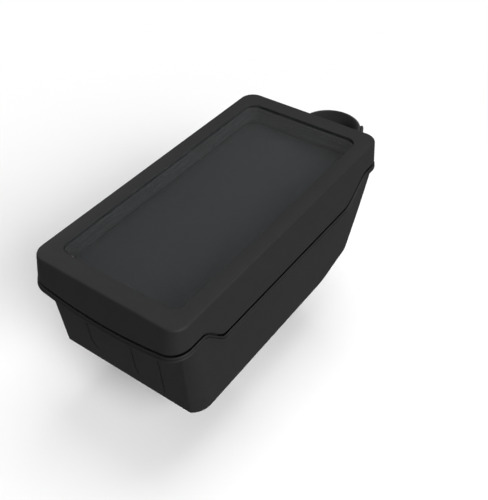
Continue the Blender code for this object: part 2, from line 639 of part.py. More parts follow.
def build_zip(materials):
    """Zip behind the seam: two tapes, two coil halves and a stop at each front end."""
    keep = zip_stations()
    half = TAPE_THICKNESS / 2
    outside, inside = zip_outline(-half), zip_outline(half)
    shoulder = EDGE - REBATE_HEIGHT
    levels = [(outside, inside, SEAM - CHAIN_HALF_GAP), (outside, inside, shoulder)]
    for depth in (shoulder - TAPE_BEND, SEAM - CHAIN_HALF_GAP - TAPE_HEIGHT):
        levels.append((lid_outline(depth, LID_WALL + GAP),
                       lid_outline(depth, LID_WALL + GAP + TAPE_THICKNESS), depth))
    add_object("zip_tape_upper", sweep("zip_tape_upper", levels, keep), materials["fabric"],
               hinge_point())
    full = SEAM + CHAIN_HALF_GAP + TAPE_HEIGHT
    short = LID_TOP - ledge_height() - GAP
    start = REAR_STEP_START + TAPE_TAPER_BEFORE
    share = ease((start - TOP_EDGE[:, 1]) / (TAPE_TAPER_BEFORE + TAPE_TAPER_AFTER))
    levels = [(outside, inside, SEAM + CHAIN_HALF_GAP), (outside, inside, full + (short - full) * share)]
    add_object("zip_tape_lower", sweep("zip_tape_lower", levels, keep), materials["fabric"])
    face, back = zip_outline(half + GAP), zip_outline(half + GAP + COIL_THICKNESS)
    reach = CHAIN_HALF_GAP + COIL_HEIGHT
    levels = [(face, back, SEAM - CHAIN_HALF_GAP), (face, back, SEAM - reach)]
    add_object("zip_coil_upper", sweep("zip_coil_upper", levels, keep), materials["coil"], hinge_point())
    levels = [(face, back, SEAM + CHAIN_HALF_GAP), (face, back, SEAM + reach)]
    add_object("zip_coil_lower", sweep("zip_coil_lower", levels, keep), materials["coil"])
    middle = LID_TOP - SEAM_DEPTH_SIDES
    near = ZIP_HALF_WIDTH - half - GAP - COIL_THICKNESS
    far = ZIP_HALF_WIDTH + half
    start = ZIP_FRONT_END + GAP
    for name, low, high in (("zip_stop_left", -far, -near), ("zip_stop_right", near, far)):
        mesh = box(name, (low, start, middle - reach), (high, start + ZIP_STOP_LENGTH, middle + reach))
        add_object(name, mesh, materials["metal"])


def bail_x():
    """Distance of the bail's bar from the middle plane, clear of the base's lip."""
    return LID_HALF_WIDTH + FLARE_SIDE * (SEAM_DEPTH_SIDES + LIP_HEIGHT) + LIP_PROUD + BAIL_STANDOFF


def round_bar(radius, sides):
    """Polygon of a round bar about the origin of its plane, flats up and down."""
    turns = (np.arange(sides) + 0.5) * 2 * math.pi / sides
    return np.column_stack([radius * np.cos(turns), radius * np.sin(turns)])


def build_slider(materials):
    """Slider: a plate each side of the coil, joined by a neck through the seam to the puller's bail."""
    middle = LID_TOP - SEAM_DEPTH_SIDES
    outer_plate = ZIP_HALF_WIDTH + TAPE_THICKNESS / 2 + SLIDER_CLEARANCE
    inner_plate = ZIP_HALF_WIDTH - TAPE_THICKNESS / 2 - GAP - COIL_THICKNESS - SLIDER_CLEARANCE
    tall, thin = SLIDER_HALF_HEIGHT, SLIDER_NECK / 2
    bar = bail_x()
    stem = bar - PULL_EYE_RADIUS - SLIDER_CLEARANCE
    half = [(inner_plate - SLIDER_PLATE, tall), (inner_plate, tall), (inner_plate, thin),
            (outer_plate, thin), (outer_plate, tall), (outer_plate + SLIDER_PLATE, tall),
            (outer_plate + SLIDER_PLATE, thin), (stem, thin)]
    section = half + [(x, -z) for x, z in reversed(half)]
    polygon = [(-x, middle + z) for x, z in section]
    rear = SLIDER_FRONT - SLIDER_LENGTH
    centre = (rear + SLIDER_FRONT) / 2
    origin = (-bar, centre, middle)
    slider = add_object("zip_slider", prism("zip_slider", polygon, "y", rear, SLIDER_FRONT),
                        materials["metal"], origin)
    for side in (-1.0, 1.0):
        face = centre + side * BAIL_WIDTH / 2
        low, high = sorted((face, face + side * BAIL_CHEEK))
        cheek = box("cheek", (-bar - CHEEK_HEIGHT / 2, low, middle - CHEEK_HEIGHT / 2),
                    (-stem + CHEEK_BITE, high, middle + CHEEK_HEIGHT / 2))
        combine(slider, add_object("cheek", cheek, materials["metal"]), "UNION")
    polygon = round_bar(BAIL_RADIUS, 12) + np.array([-bar, middle])
    reach = BAIL_WIDTH / 2 + BAIL_CHEEK / 2
    pin = prism("pin", polygon, "y", centre - reach, centre + reach)
    combine(slider, add_object("pin", pin, materials["metal"]), "UNION")


def build_puller(materials):
    """Puller: an eye round the bail's bar and a flat tab hanging from it."""
    middle = LID_TOP - SEAM_DEPTH_SIDES
    bar = bail_x()
    centre = SLIDER_FRONT - SLIDER_LENGTH / 2
    origin = (-bar, centre, middle)
    place = np.array([-bar, middle])
    outer = round_bar(PULL_EYE_RADIUS, 16) + place
    inner = round_bar(BAIL_RADIUS + GAP, 16) + place
    rings = []
    for flat, y in ((outer, -1.0), (outer, 1.0), (inner, 1.0), (inner, -1.0)):
        rings.append(np.column_stack([flat[:, 0], np.full(16, centre + y * PULL_EYE_WIDTH / 2), flat[:, 1]]))
    puller = add_object("zip_puller", loft("zip_puller", rings, closed=True), materials["rubber"], origin)
    low = middle - PULL_LENGTH
    shoulder = middle - PULL_EYE_RADIUS - CHEEK_HEIGHT / 2
    wide, narrow = PULL_WIDTH / 2, PULL_EYE_WIDTH / 2
    top = middle - (BAIL_RADIUS + PULL_EYE_RADIUS) / 2 - GAP
    half = [(narrow, top), (narrow, shoulder), (wide, shoulder - (wide - narrow)),
            (wide, low + PULL_TIP), (wide - PULL_TIP, low)]
    polygon = [(centre + y, z) for y, z in half] + [(centre - y, z) for y, z in reversed(half)]
    tab = prism("tab", polygon, "x", -bar - PULL_THICKNESS / 2, -bar + PULL_THICKNESS / 2)
    combine(puller, add_object("tab", tab, materials["rubber"]), "UNION")


def build_seat(materials):
    """Rubber seat under the base, with grooves across its underside that leave a land at the origin."""
    polygon = [(SEAT_FRONT, 0.0), (SEAT_FRONT, SEAT_HEIGHT - GAP), (SEAT_REAR, SEAT_HEIGHT - GAP),
               (SEAT_REAR, 0.0)]
    first = math.ceil(SEAT_REAR / SEAT_GROOVE_PITCH)
    last = math.floor(SEAT_FRONT / SEAT_GROOVE_PITCH)
    for number in range(first, last + 1):
        low = (number - 0.5) * SEAT_GROOVE_PITCH - SEAT_GROOVE_WIDTH / 2
        high = low + SEAT_GROOVE_WIDTH
        if low < SEAT_REAR + SEAT_GROOVE_WIDTH or high > SEAT_FRONT - SEAT_GROOVE_WIDTH:
            continue
        polygon += [(low, 0.0), (low, SEAT_GROOVE_DEPTH), (high, SEAT_GROOVE_DEPTH), (high, 0.0)]
    mesh = prism("tube_seat_pad", polygon, "x", -SEAT_HALF_WIDTH, SEAT_HALF_WIDTH)
    add_object("tube_seat_pad", mesh, materials["rubber"])


def arc(centre, radius, start, end, steps):
    """Points on an arc, angles in degrees from the plane's first axis."""
    turns = np.radians(np.linspace(start, end, steps + 1))
    return np.column_stack([centre[0] + radius * np.cos(turns), centre[1] + radius * np.sin(turns)])


def ribbon(name, path, thickness, axis, low, high):
    """Flat strip that follows a path in the plane across axis, from low to high along the axis.

    At each point the faces are half the thickness either side, along the bisector of the two legs.
    """
    path = np.array(path)
    legs = np.diff(path, axis=0)
    legs /= np.linalg.norm(legs, axis=1)[:, None]
    before = np.vstack([legs[:1], legs])
    after = np.vstack([legs, legs[-1:]])
    tangent = before + after
    tangent /= np.linalg.norm(tangent, axis=1)[:, None]
    stretch = 1.0 / np.sum(tangent * before, axis=1)
    normal = np.column_stack([-tangent[:, 1], tangent[:, 0]]) * stretch[:, None] * thickness / 2
    first, second, along = {"x": (1, 2, 0), "y": (0, 2, 1), "z": (0, 1, 2)}[axis]
    rings = []
    for point, shift in zip(path, normal):
        corners = np.zeros((4, 3))
        for row, (sign, level) in enumerate(((-1, low), (1, low), (1, high), (-1, high))):
            corners[row, [first, second]] = point + sign * shift
            corners[row, along] = level
        rings.append(corners)
    return loft(name, rings)


def build_tube_straps(materials):
    """Straps round the top tube, each closed with an overlap on its left side and held by a keeper."""
    half, layer = TUBE_LOOP_HALF_WIDTH, STRAP_THICKNESS + GAP
    top = BASE_BOTTOM - GAP - STRAP_THICKNESS / 2
    bottom = TUBE_LOOP_BOTTOM
    above, below = TUBE_LOOP_TOP_RADIUS, TUBE_LOOP_BOTTOM_RADIUS
    outer = below + layer
    end = bottom + outer + STRAP_END_MARGIN
    path = np.vstack([
        [(-half, end)],
        arc((-half + above, top - above), above, 180, 90, 6),
        arc((half - above, top - above), above, 90, 0, 6),
        arc((half - below, bottom + below), below, 0, -90, 8),
        arc((-half - layer + outer, bottom + outer), outer, -90, -180, 8),
        [(-half - layer, end + STRAP_OVERLAP)],
    ])
    under = top - STRAP_THICKNESS / 2 - GAP - KEEPER_THICKNESS / 2
    flush = BASE_BOTTOM - GAP - KEEPER_THICKNESS / 2
    for name, middle in TUBE_STRAP_PLACES.items():
        mesh = ribbon("tube_strap_" + name, path, STRAP_THICKNESS, "y", middle - TUBE_STRAP_WIDTH / 2,
                      middle + TUBE_STRAP_WIDTH / 2)
        add_object("tube_strap_" + name, mesh, materials["fabric"])
        near = TUBE_STRAP_WIDTH / 2 + KEEPER_CLEARANCE
        levels = [(-KEEPER_REACH, flush), (-near - KEEPER_SLOPE, flush), (-near, under), (near, under),
                  (near + KEEPER_SLOPE, flush), (KEEPER_REACH, flush)]
        mesh = ribbon("strap_keeper_" + name, [(middle + y, z) for y, z in levels], KEEPER_THICKNESS,
                      "x", -KEEPER_WIDTH / 2, KEEPER_WIDTH / 2)
        add_object("strap_keeper_" + name, mesh, materials["fabric"])


def build_steerer_strap(materials):
    """Strap round the steerer tube, closed with an overlap on its right side, and its keeper."""
    low, high = strap_band()
    layer = STRAP_THICKNESS + GAP
    rear = NOSE_PAD_FACE + GAP + STRAP_THICKNESS / 2
    radius, corner = STEERER_LOOP_RADIUS, STEERER_LOOP_REAR_RADIUS
    outer = corner + layer
    start = rear + outer + STRAP_END_MARGIN
    path = np.vstack([
        [(radius, start)],
        arc((0.0, STEERER_CENTRE), radius, 0, 180, 20),
        arc((-radius + corner, rear + corner), corner, 180, 270, 6),
        arc((radius + layer - outer, rear + outer), outer, 270, 360, 7),
        arc((0.0, STEERER_CENTRE), radius + layer, 0, STEERER_OVERLAP_TURN, 6),
    ])
    mesh = ribbon("steerer_strap", path, STRAP_THICKNESS, "z", low, high)
    add_object("steerer_strap", mesh, materials["fabric"])
    flush = NOSE_PAD_FACE + GAP + KEEPER_THICKNESS / 2
    over = rear + STRAP_THICKNESS / 2 + GAP + KEEPER_THICKNESS / 2
    top = LID_TOP - UNDER_LIP - GAP
    path = [(flush, low - KEEPER_STITCH + GAP), (flush, low - KEEPER_CLEARANCE - KEEPER_SLOPE),
            (over, low - KEEPER_CLEARANCE), (over, high + KEEPER_CLEARANCE),
            (flush, high + KEEPER_CLEARANCE + KEEPER_RISE), (flush, top)]
    mesh = ribbon("steerer_keeper", path, KEEPER_THICKNESS, "x", -KEEPER_WIDTH / 2, KEEPER_WIDTH / 2)
    add_object("steerer_keeper", mesh, materials["fabric"])


def main():
    clear_scene()
    materials = {
        "shell": make_material("laminated_eva", BLACK_SHELL, 0.75),
        "fabric": make_material("woven_nylon", BLACK_FABRIC, 0.9),
        "coil": make_material("nylon_coil", BLACK_FABRIC, 0.5),
        "rubber": make_material("rubber", BLACK_RUBBER, 0.6),
        "metal": make_material("dark_zinc", DARK_METAL, 0.4, metallic=1.0),
        "film": make_material("clear_tpu", CLEAR_FILM, 0.08, transmission=1.0),
    }
    build_base(materials)
    build_seat(materials)
    build_tube_straps(materials)
    build_steerer_strap(materials)
    build_lid(materials)
    build_window(materials)
    build_hinge(materials)
    build_zip(materials)
    build_slider(materials)
    build_puller(materials)


main()
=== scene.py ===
# %% [markdown]
# # A hard-shell frame bag
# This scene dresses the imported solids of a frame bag: a moulded base, a hinged lid with a clear
# window, a zip hidden in the seam and three straps. Each cell first says what a piece is on the real
# bag and how it is made here, then makes it. All lengths are in metres.

# %% Start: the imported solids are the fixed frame
import math

import bmesh
import bpy
import numpy as np
from mathutils import Matrix, Vector


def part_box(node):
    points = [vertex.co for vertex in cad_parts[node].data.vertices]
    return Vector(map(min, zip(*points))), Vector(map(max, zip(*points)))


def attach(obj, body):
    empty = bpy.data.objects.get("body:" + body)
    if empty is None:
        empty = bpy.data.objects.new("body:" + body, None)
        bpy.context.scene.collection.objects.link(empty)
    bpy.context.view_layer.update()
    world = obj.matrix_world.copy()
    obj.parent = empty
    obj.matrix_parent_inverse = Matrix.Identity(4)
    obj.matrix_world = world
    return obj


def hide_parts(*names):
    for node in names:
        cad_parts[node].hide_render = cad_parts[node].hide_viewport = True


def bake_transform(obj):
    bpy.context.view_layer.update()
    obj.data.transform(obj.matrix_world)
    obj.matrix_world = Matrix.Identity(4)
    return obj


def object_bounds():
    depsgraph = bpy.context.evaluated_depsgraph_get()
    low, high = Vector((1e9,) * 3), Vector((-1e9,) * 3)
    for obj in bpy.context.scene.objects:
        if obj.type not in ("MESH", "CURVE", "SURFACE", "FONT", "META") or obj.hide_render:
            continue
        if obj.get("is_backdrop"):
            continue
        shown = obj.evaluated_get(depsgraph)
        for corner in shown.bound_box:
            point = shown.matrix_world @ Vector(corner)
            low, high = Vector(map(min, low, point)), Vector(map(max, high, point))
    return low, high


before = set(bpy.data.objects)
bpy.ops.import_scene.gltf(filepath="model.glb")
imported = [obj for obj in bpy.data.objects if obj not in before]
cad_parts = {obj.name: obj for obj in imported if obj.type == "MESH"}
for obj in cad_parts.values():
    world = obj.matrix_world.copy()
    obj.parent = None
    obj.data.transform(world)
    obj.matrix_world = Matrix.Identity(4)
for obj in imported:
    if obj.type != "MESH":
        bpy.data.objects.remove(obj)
packed_low, packed_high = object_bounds()
print("packed size", [round(v, 4) for v in packed_high - packed_low])

# %% [markdown]
# ## Camera
# The camera stands behind and to the right of the bag, about 42 degrees above it, rolled by less
# than a degree. Its axes come from two angles: the back axis points from the bag to the camera.

# %% Camera
AZIMUTH, ELEVATION, ROLL = np.radians([36.104, 42.274, -0.875])
CAMERA_PLACE = (0.19455, -0.24610, 0.31404)
FOCAL_LENGTH, SENSOR_WIDTH = 54.92, 36.0  # in millimetres, the unit of Blender's lenses
back = Vector((math.sin(AZIMUTH) * math.cos(ELEVATION), -math.cos(AZIMUTH) * math.cos(ELEVATION),
               math.sin(ELEVATION)))
level = Vector((math.cos(AZIMUTH), math.sin(AZIMUTH), 0.0))
rise = back.cross(level)
right = math.cos(ROLL) * level + math.sin(ROLL) * rise
up = back.cross(right)
camera = bpy.data.objects.new("camera", bpy.data.cameras.new("camera"))
bpy.context.scene.collection.objects.link(camera)
bpy.context.scene.camera = camera
camera.data.sensor_fit = "HORIZONTAL"
camera.data.sensor_width = SENSOR_WIDTH
camera.data.lens = FOCAL_LENGTH
camera.data.clip_start = 0.01
camera.matrix_world = Matrix.Translation(CAMERA_PLACE) @ Matrix((right, up, back)).transposed().to_4x4()
print("camera", [round(v, 3) for v in camera.location])

# %% [markdown]
# ## Floor, lamps and world
# The bag stands on its strap loops on a pale floor. A large soft lamp on the right makes the right
# wall a little lighter than the rear one, a second one overhead lights the top, and a weak one fills
# the left side. The world that the camera sees is white, but it lights the bag more gently. Far from
# the bag the floor fades into white, for the camera only, and from below it is clear, so that the
# underside can be looked at.

# %% Colours and nodes


def linear(code):
    """Turn an sRGB hex code into linear values: c / 12.92 below 0.04045, else a 2.4 power curve."""
    values = [int(code[place:place + 2], 16) / 255 for place in (1, 3, 5)]
    return (*[v / 12.92 if v <= 0.04045 else ((v + 0.055) / 1.055) ** 2.4 for v in values], 1.0)


def add_node(tree, kind, inputs=(), **settings):
    """Add a node with its settings; an input gets a value, or a link where a (node, output) is given."""
    node = tree.nodes.new(kind)
    for name, value in settings.items():
        setattr(node, name, value)
    for name, value in dict(inputs).items():
        if isinstance(value, tuple) and isinstance(value[0], bpy.types.Node):
            tree.links.new(value[0].outputs[value[1]], node.inputs[name])
        else:
            node.inputs[name].default_value = value
    return node


def mixed_colour(tree, factor, dark, light):
    """A Mix node between two hex colours, driven by the (node, output) factor."""
    node = add_node(tree, "ShaderNodeMix", {"Factor": factor}, data_type="RGBA")
    node.inputs[6].default_value, node.inputs[7].default_value = linear(dark), linear(light)
    return node


def new_material(name):
    """An empty material with its output node."""
    material = bpy.data.materials.new(name)
    material.use_nodes = True
    tree = material.node_tree
    tree.nodes.clear()
    return material, tree, tree.nodes.new("ShaderNodeOutputMaterial")


# %% Floor
FLOOR_HEIGHT, FLOOR_REACH = packed_low.z - 0.0002, 6.0
FADE_START, FADE_END = 0.07, 0.40
floor_material, tree, output = new_material("pale_matte_floor")
path = tree.nodes.new("ShaderNodeLightPath")
tone = mixed_colour(tree, (path, "Is Camera Ray"), "#8c8c8c", "#fafafa")
matte = add_node(tree, "ShaderNodeBsdfPrincipled",
                 {"Base Color": (tone, 2), "Roughness": 0.95, "Specular IOR Level": 0.0})
place = add_node(tree, "ShaderNodeTexCoord")
distance = add_node(tree, "ShaderNodeVectorMath", {0: (place, "Object")}, operation="LENGTH")
fade = add_node(tree, "ShaderNodeMapRange", {"Value": (distance, "Value"), "From Min": FADE_START,
                                             "From Max": FADE_END}, interpolation_type="SMOOTHSTEP")
share = add_node(tree, "ShaderNodeMath", {0: (fade, 0), 1: (path, "Is Camera Ray")}, operation="MULTIPLY")
white = add_node(tree, "ShaderNodeEmission", {"Color": (1, 1, 1, 1), "Strength": 1.0})
both = add_node(tree, "ShaderNodeMixShader", {0: (share, 0), 1: (matte, 0), 2: (white, 0)})
side = tree.nodes.new("ShaderNodeNewGeometry")
clear = tree.nodes.new("ShaderNodeBsdfTransparent")
above = add_node(tree, "ShaderNodeMixShader", {0: (side, "Backfacing"), 1: (both, 0), 2: (clear, 0)})
tree.links.new(above.outputs[0], output.inputs[0])
floor_mesh = bpy.data.meshes.new("floor")
floor_mesh.from_pydata([(x * FLOOR_REACH, y * FLOOR_REACH, FLOOR_HEIGHT)
                        for x, y in ((-1, -1), (1, -1), (1, 1), (-1, 1))], [], [(0, 1, 2, 3)])
floor_mesh.materials.append(floor_material)
floor = bpy.data.objects.new("floor", floor_mesh)
bpy.context.scene.collection.objects.link(floor)
floor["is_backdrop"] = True
print("floor at", round(FLOOR_HEIGHT, 4))

# %% World
world = bpy.data.worlds.new("studio")
bpy.context.scene.world = world
world.use_nodes = True
tree = world.node_tree
tree.nodes.clear()
path = tree.nodes.new("ShaderNodeLightPath")
soft = add_node(tree, "ShaderNodeBackground", {"Color": (1, 1, 1, 1), "Strength": 0.20})
white = add_node(tree, "ShaderNodeBackground", {"Color": (1, 1, 1, 1), "Strength": 1.0})
mixed = add_node(tree, "ShaderNodeMixShader", {0: (path, "Is Camera Ray"), 1: (soft, 0), 2: (white, 0)})
add_node(tree, "ShaderNodeOutputWorld", {"Surface": (mixed, 0)})
print("world:", world.name)

# %% Lamps
LAMP_TARGET = (0, 0, 0.03)


def lamp(name, place, size, power):
    """Square soft lamp at a place, aimed at the middle of the bag."""
    data = bpy.data.lights.new(name, "AREA")
    data.shape = "SQUARE"
    data.size, data.energy = size, power
    item = bpy.data.objects.new(name, data)
    bpy.context.scene.collection.objects.link(item)
    direction = Vector(LAMP_TARGET) - Vector(place)
    item.matrix_world = Matrix.Translation(place) @ direction.to_track_quat("-Z", "Y").to_matrix().to_4x4()


lamp("key_lamp", (1.15, -0.42, 0.80), 0.7, 22.0)
lamp("top_lamp", (0.1, 0.5, 1.5), 1.0, 10.0)
lamp("fill_lamp", (-0.95, 0.25, 0.50), 0.6, 2.5)
bpy.context.scene.view_settings.view_transform = "Standard"
print("lamps:", [item.name for item in bpy.data.lights])

# %% [markdown]
# ## Building surfaces
# Every new piece is a grid of points worked out with whole arrays. Rows follow one parameter and
# columns the other. Columns always close into a ring, rows may, and ends may be closed with a cap or
# a pole. A finished piece takes the place of its solids, moves with their body and gets a finish.

# %% A grid of points becomes a mesh


def surface(name, grid, material, rows_closed=False, caps=False, row_slots=None, uv=None, angle=50.0):
    """Mesh from points of shape (rows, columns, 3): each quad joins four neighbours of the grid.

    Caps fill the first and last row with one face each. Points that coincide, as at a pole, are
    merged, and all faces are turned outwards. row_slots gives a material number for each row of quads.
    """
    rows, columns = grid.shape[:2]
    down = np.arange(rows if rows_closed else rows - 1)
    row, column = [part.ravel() for part in np.meshgrid(down, np.arange(columns), indexing="ij")]
    row_after, column_after = (row + 1) % rows, (column + 1) % columns
    quads = np.stack([row * columns + column, row * columns + column_after,
                      row_after * columns + column_after, row_after * columns + column], axis=1)
    faces = quads.tolist()
    if caps:
        faces += [list(range(columns)), list(range((rows - 1) * columns, rows * columns))]
    mesh = bpy.data.meshes.new(name)
    mesh.from_pydata(grid.reshape(-1, 3), [], faces)
    for item in (material if isinstance(material, (list, tuple)) else [material]):
        mesh.materials.append(item)
    if row_slots is not None:
        slots = np.zeros(len(faces), np.int32)
        slots[:len(quads)] = np.asarray(row_slots, np.int32)[row]
        mesh.polygons.foreach_set("material_index", slots)
    if uv is not None:
        layer = mesh.uv_layers.new(name="strip")
        corners = np.zeros(len(mesh.loops), np.int32)
        mesh.loops.foreach_get("vertex_index", corners)
        layer.data.foreach_set("uv", uv.reshape(-1, 2)[corners].astype(np.float32).ravel())
    builder = bmesh.new()
    builder.from_mesh(mesh)
    bmesh.ops.remove_doubles(builder, verts=builder.verts, dist=1e-7)
    bmesh.ops.dissolve_degenerate(builder, edges=builder.edges, dist=1e-8)
    bmesh.ops.recalc_face_normals(builder, faces=builder.faces)
    builder.to_mesh(mesh)
    builder.free()
    mesh.shade_smooth()
    mesh.set_sharp_from_angle(angle=math.radians(angle))
    piece = bpy.data.objects.new(name, mesh)
    bpy.context.scene.collection.objects.link(piece)
    return piece


def ease(value):
    """Smooth step: 3 v squared minus 2 v cubed, with v held between 0 and 1."""
    value = np.clip(value, 0.0, 1.0)
    return value * value * (3.0 - 2.0 * value)


# %% A piece takes the place of its solids


def dress(piece, body, finish, *nodes):
    """The piece stands for these solids and moves with the body; finish is not used."""
    if nodes:
        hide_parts(*nodes)
    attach(piece, body)
    print(piece.name, len(piece.data.polygons), "faces")


# %% [markdown]
# ## Stations round the bag
# Lid and base share one set of stations, counted counter-clockwise from the rear end of the right
# side. Each station lies on one of eight sections: four straight ones and four corners. The steps of
# the seam and the lines pressed into the rear wall get many stations, plain walls get few.

# %% Stations
LID_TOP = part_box("lid_shell")[1].z
BASE_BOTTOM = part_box("base_shell")[0].z
LID_HALF_WIDTH, LID_HALF_LENGTH, LID_CORNER = 0.0462, 0.0925, 0.0085
REAR_STEP = (-0.0765, -0.0608)
FRONT_STEP = (0.0511, 0.0777)
ZIP_END = 0.0480
CORNER_Y = LID_HALF_LENGTH - LID_CORNER
along_side = np.concatenate([
    np.linspace(-CORNER_Y, REAR_STEP[0], 8, endpoint=False),
    np.linspace(*REAR_STEP, 24, endpoint=False),
    np.linspace(REAR_STEP[1], ZIP_END, 24, endpoint=False),
    np.linspace(ZIP_END, FRONT_STEP[0], 3, endpoint=False),
    np.linspace(*FRONT_STEP, 28, endpoint=False),
    np.linspace(FRONT_STEP[1], CORNER_Y, 10)])
along_corner = np.concatenate([[0.012], np.linspace(0, 1, 19)[1:-1], [0.988]])
along_front = np.linspace(0, 1, 49)
along_rear = np.concatenate([[0, 0.0015], np.linspace(0, 1, 271)[1:-1], [0.9985, 1]])
SIDE, FRONT_ARC, FRONT, LEFT_FRONT_ARC, LEFT_SIDE, REAR_ARC, REAR, RIGHT_REAR_ARC = range(8)
sections = [along_side, along_corner, along_front, along_corner, along_side[::-1], along_corner,
            along_rear, along_corner]
KIND = np.concatenate([np.full(len(values), number) for number, values in enumerate(sections)])
PLACE = np.concatenate(sections)
print(len(KIND), "stations round the bag")


def outline(half_width, rear, front, rear_radius, front_radius, crease=0.0):
    """Rounded rectangle with one x, y point at each station; sizes may be numbers or station arrays.

    A corner's point is its centre plus the radius times the cosine and sine of the turning angle.
    With a crease, the rear corners start turning at that angle, so they meet the rear in an edge.
    """
    half_width, rear, front, rear_radius, front_radius = np.broadcast_arrays(
        half_width, rear, front, rear_radius, front_radius, KIND)[:5]
    rear_centre = -rear + rear_radius * math.cos(crease)
    front_centre = front - front_radius
    margin = 0.002
    start = np.maximum(REAR_STEP[0], rear_centre + margin)
    end = np.minimum(FRONT_STEP[1], front_centre - margin)
    y = np.where(PLACE < REAR_STEP[0],
                 rear_centre + (start - rear_centre) * (PLACE + CORNER_Y) / (REAR_STEP[0] + CORNER_Y),
                 np.where(PLACE < FRONT_STEP[1],
                          start + (end - start) * (PLACE - REAR_STEP[0]) / (FRONT_STEP[1] - REAR_STEP[0]),
                          end + (front_centre - end) * (PLACE - FRONT_STEP[1]) / (CORNER_Y - FRONT_STEP[1])))
    x = half_width.copy()
    y = np.where((KIND == FRONT), front, np.where(KIND == REAR, -rear, y))
    x = np.where(KIND == FRONT, (half_width - front_radius) * (1 - 2 * PLACE), x)
    reach = half_width - rear_radius + rear_radius * math.sin(crease)
    x = np.where(KIND == REAR, reach * (2 * PLACE - 1), x)
    turn = math.pi / 2 - crease
    for kind, angle, radius, centre, way in (
            (FRONT_ARC, PLACE * math.pi / 2, front_radius, front_centre, 1),
            (LEFT_FRONT_ARC, (1 - PLACE) * math.pi / 2, front_radius, front_centre, 1),
            (REAR_ARC, PLACE * turn, rear_radius, rear_centre, -1),
            (RIGHT_REAR_ARC, (1 - PLACE) * turn, rear_radius, rear_centre, -1)):
        here = KIND == kind
        x = np.where(here, half_width - radius + radius * np.cos(angle), x)
        y = np.where(here, centre + way * radius * np.sin(angle), y)
    left = np.isin(KIND, [LEFT_FRONT_ARC, LEFT_SIDE, REAR_ARC])
    return np.stack([np.where(left, -x, x), y], axis=1)


def ring(flat, height):
    """Give an outline its height, one number or one for each station."""
    return np.column_stack([flat, np.broadcast_to(height, len(flat))])


# %% [markdown]
# ## The seam
# On the real bag the seam is high at the ends, drops in a soft S behind the rear corners, runs low
# along the sides and rises again in front. Across the rear it bows down. Lid and base both read
# their edge from this one curve, so the gap between them stays even.

# %% The seam as a depth below the lid's top
FLARE_SIDE, FLARE_REAR, FLARE_FRONT = 0.095, 0.155, 0.045
SEAM_END, SEAM_DROP, REAR_BOW = 0.0140, 0.0114, 0.0051
SEAM_SIDE = SEAM_END + SEAM_DROP
HALF_GAP = 0.0007
SMALLEST_RADIUS = 0.0015


def lid_outline(depth, inset=0.0):
    """Outline of the lid's flared wall: each half size grows by its flare times the depth."""
    radius = np.maximum(LID_CORNER + FLARE_SIDE * depth - inset, SMALLEST_RADIUS)
    return outline(LID_HALF_WIDTH + FLARE_SIDE * depth - inset,
                   LID_HALF_LENGTH + FLARE_REAR * depth - inset,
                   LID_HALF_LENGTH + FLARE_FRONT * depth - inset, radius, radius)


top_edge = lid_outline(0.0)
on_side = np.isin(KIND, [SIDE, LEFT_SIDE])
dropped = ease((top_edge[:, 1] - REAR_STEP[0]) / (REAR_STEP[1] - REAR_STEP[0]))
raised = ease((top_edge[:, 1] - FRONT_STEP[0]) / (FRONT_STEP[1] - FRONT_STEP[0]))
bow = np.cos(np.clip(top_edge[:, 0] / LID_HALF_WIDTH, -1, 1) * math.pi / 2) ** 0.8
SEAM = (SEAM_END + SEAM_DROP * dropped * (1 - raised) * on_side
        + REAR_BOW * bow * (top_edge[:, 1] < -CORNER_Y))
print("seam from", SEAM.min(), "to", SEAM.max(), "below the top")

# %% [markdown]
# ## Fabric over moulded foam
# Both shells are EVA foam with a thin polyester knit laminated to it, pressed hot in a mould. The
# cloth hides any gloss: it is nearly black, very matt, with a fine grain of about 0.4 mm, and the
# pressing leaves it a little smoother and lighter in some places than in others, in clouds of about
# 11 mm. The lining inside is a brushed knit with a longer pile, and the binding tape is woven, with a
# grain of 0.6 mm. All three use noise on Object coordinates, whose scale is one over the size.

# %% Laminated cloth and lining


def cloth_material(name, dark, light, roughness, grain, depth, sheen):
    """Matt cloth: two near colours mixed by cloudy noise, with fine noise of the grain's size as bump."""
    material, tree, output = new_material(name)
    place = add_node(tree, "ShaderNodeTexCoord")
    clouds = add_node(tree, "ShaderNodeTexNoise", {"Vector": (place, "Object"), "Scale": 90.0,
                                                   "Detail": 4.0, "Roughness": 0.6})
    threads = add_node(tree, "ShaderNodeTexNoise", {"Vector": (place, "Object"), "Scale": 1.0 / grain,
                                                    "Detail": 2.0, "Roughness": 0.5})
    both = add_node(tree, "ShaderNodeMath", {0: (clouds, "Fac"), 1: (threads, "Fac")}, operation="MULTIPLY")
    colour = mixed_colour(tree, (both, 0), dark, light)
    bump = add_node(tree, "ShaderNodeBump", {"Height": (threads, "Fac"), "Strength": 0.35,
                                             "Distance": depth})
    shader = add_node(tree, "ShaderNodeBsdfPrincipled", {
        "Base Color": (colour, 2), "Roughness": roughness, "Normal": (bump, 0), "IOR": 1.5,
        "Specular IOR Level": 0.3, "Sheen Weight": sheen, "Sheen Roughness": 0.4,
        "Sheen Tint": linear("#9a9a9c")})
    tree.links.new(shader.outputs[0], output.inputs[0])
    return material


shell_cloth = cloth_material("laminated_polyester_knit", "#191919", "#252526", 0.66, 0.0004, 0.00010, 0.03)
lining = cloth_material("brushed_tricot_lining", "#131415", "#1f2022", 0.9, 0.0009, 0.0002, 0.12)
binding = cloth_material("polyester_binding_tape", "#161617", "#242425", 0.85, 0.0006, 0.00015, 0.1)
print("cloth materials:", shell_cloth.name, lining.name, binding.name)

# %% [markdown]
# ## The lid
# The lid is one moulding: a flat frame round the window, a soft outer edge, flared walls and a
# rolled lower edge. One way would be a box with bevels, but the wall's height changes all along the
# seam. So one profile is carried round the window instead, and each of its points reads its own
# outline and depth.

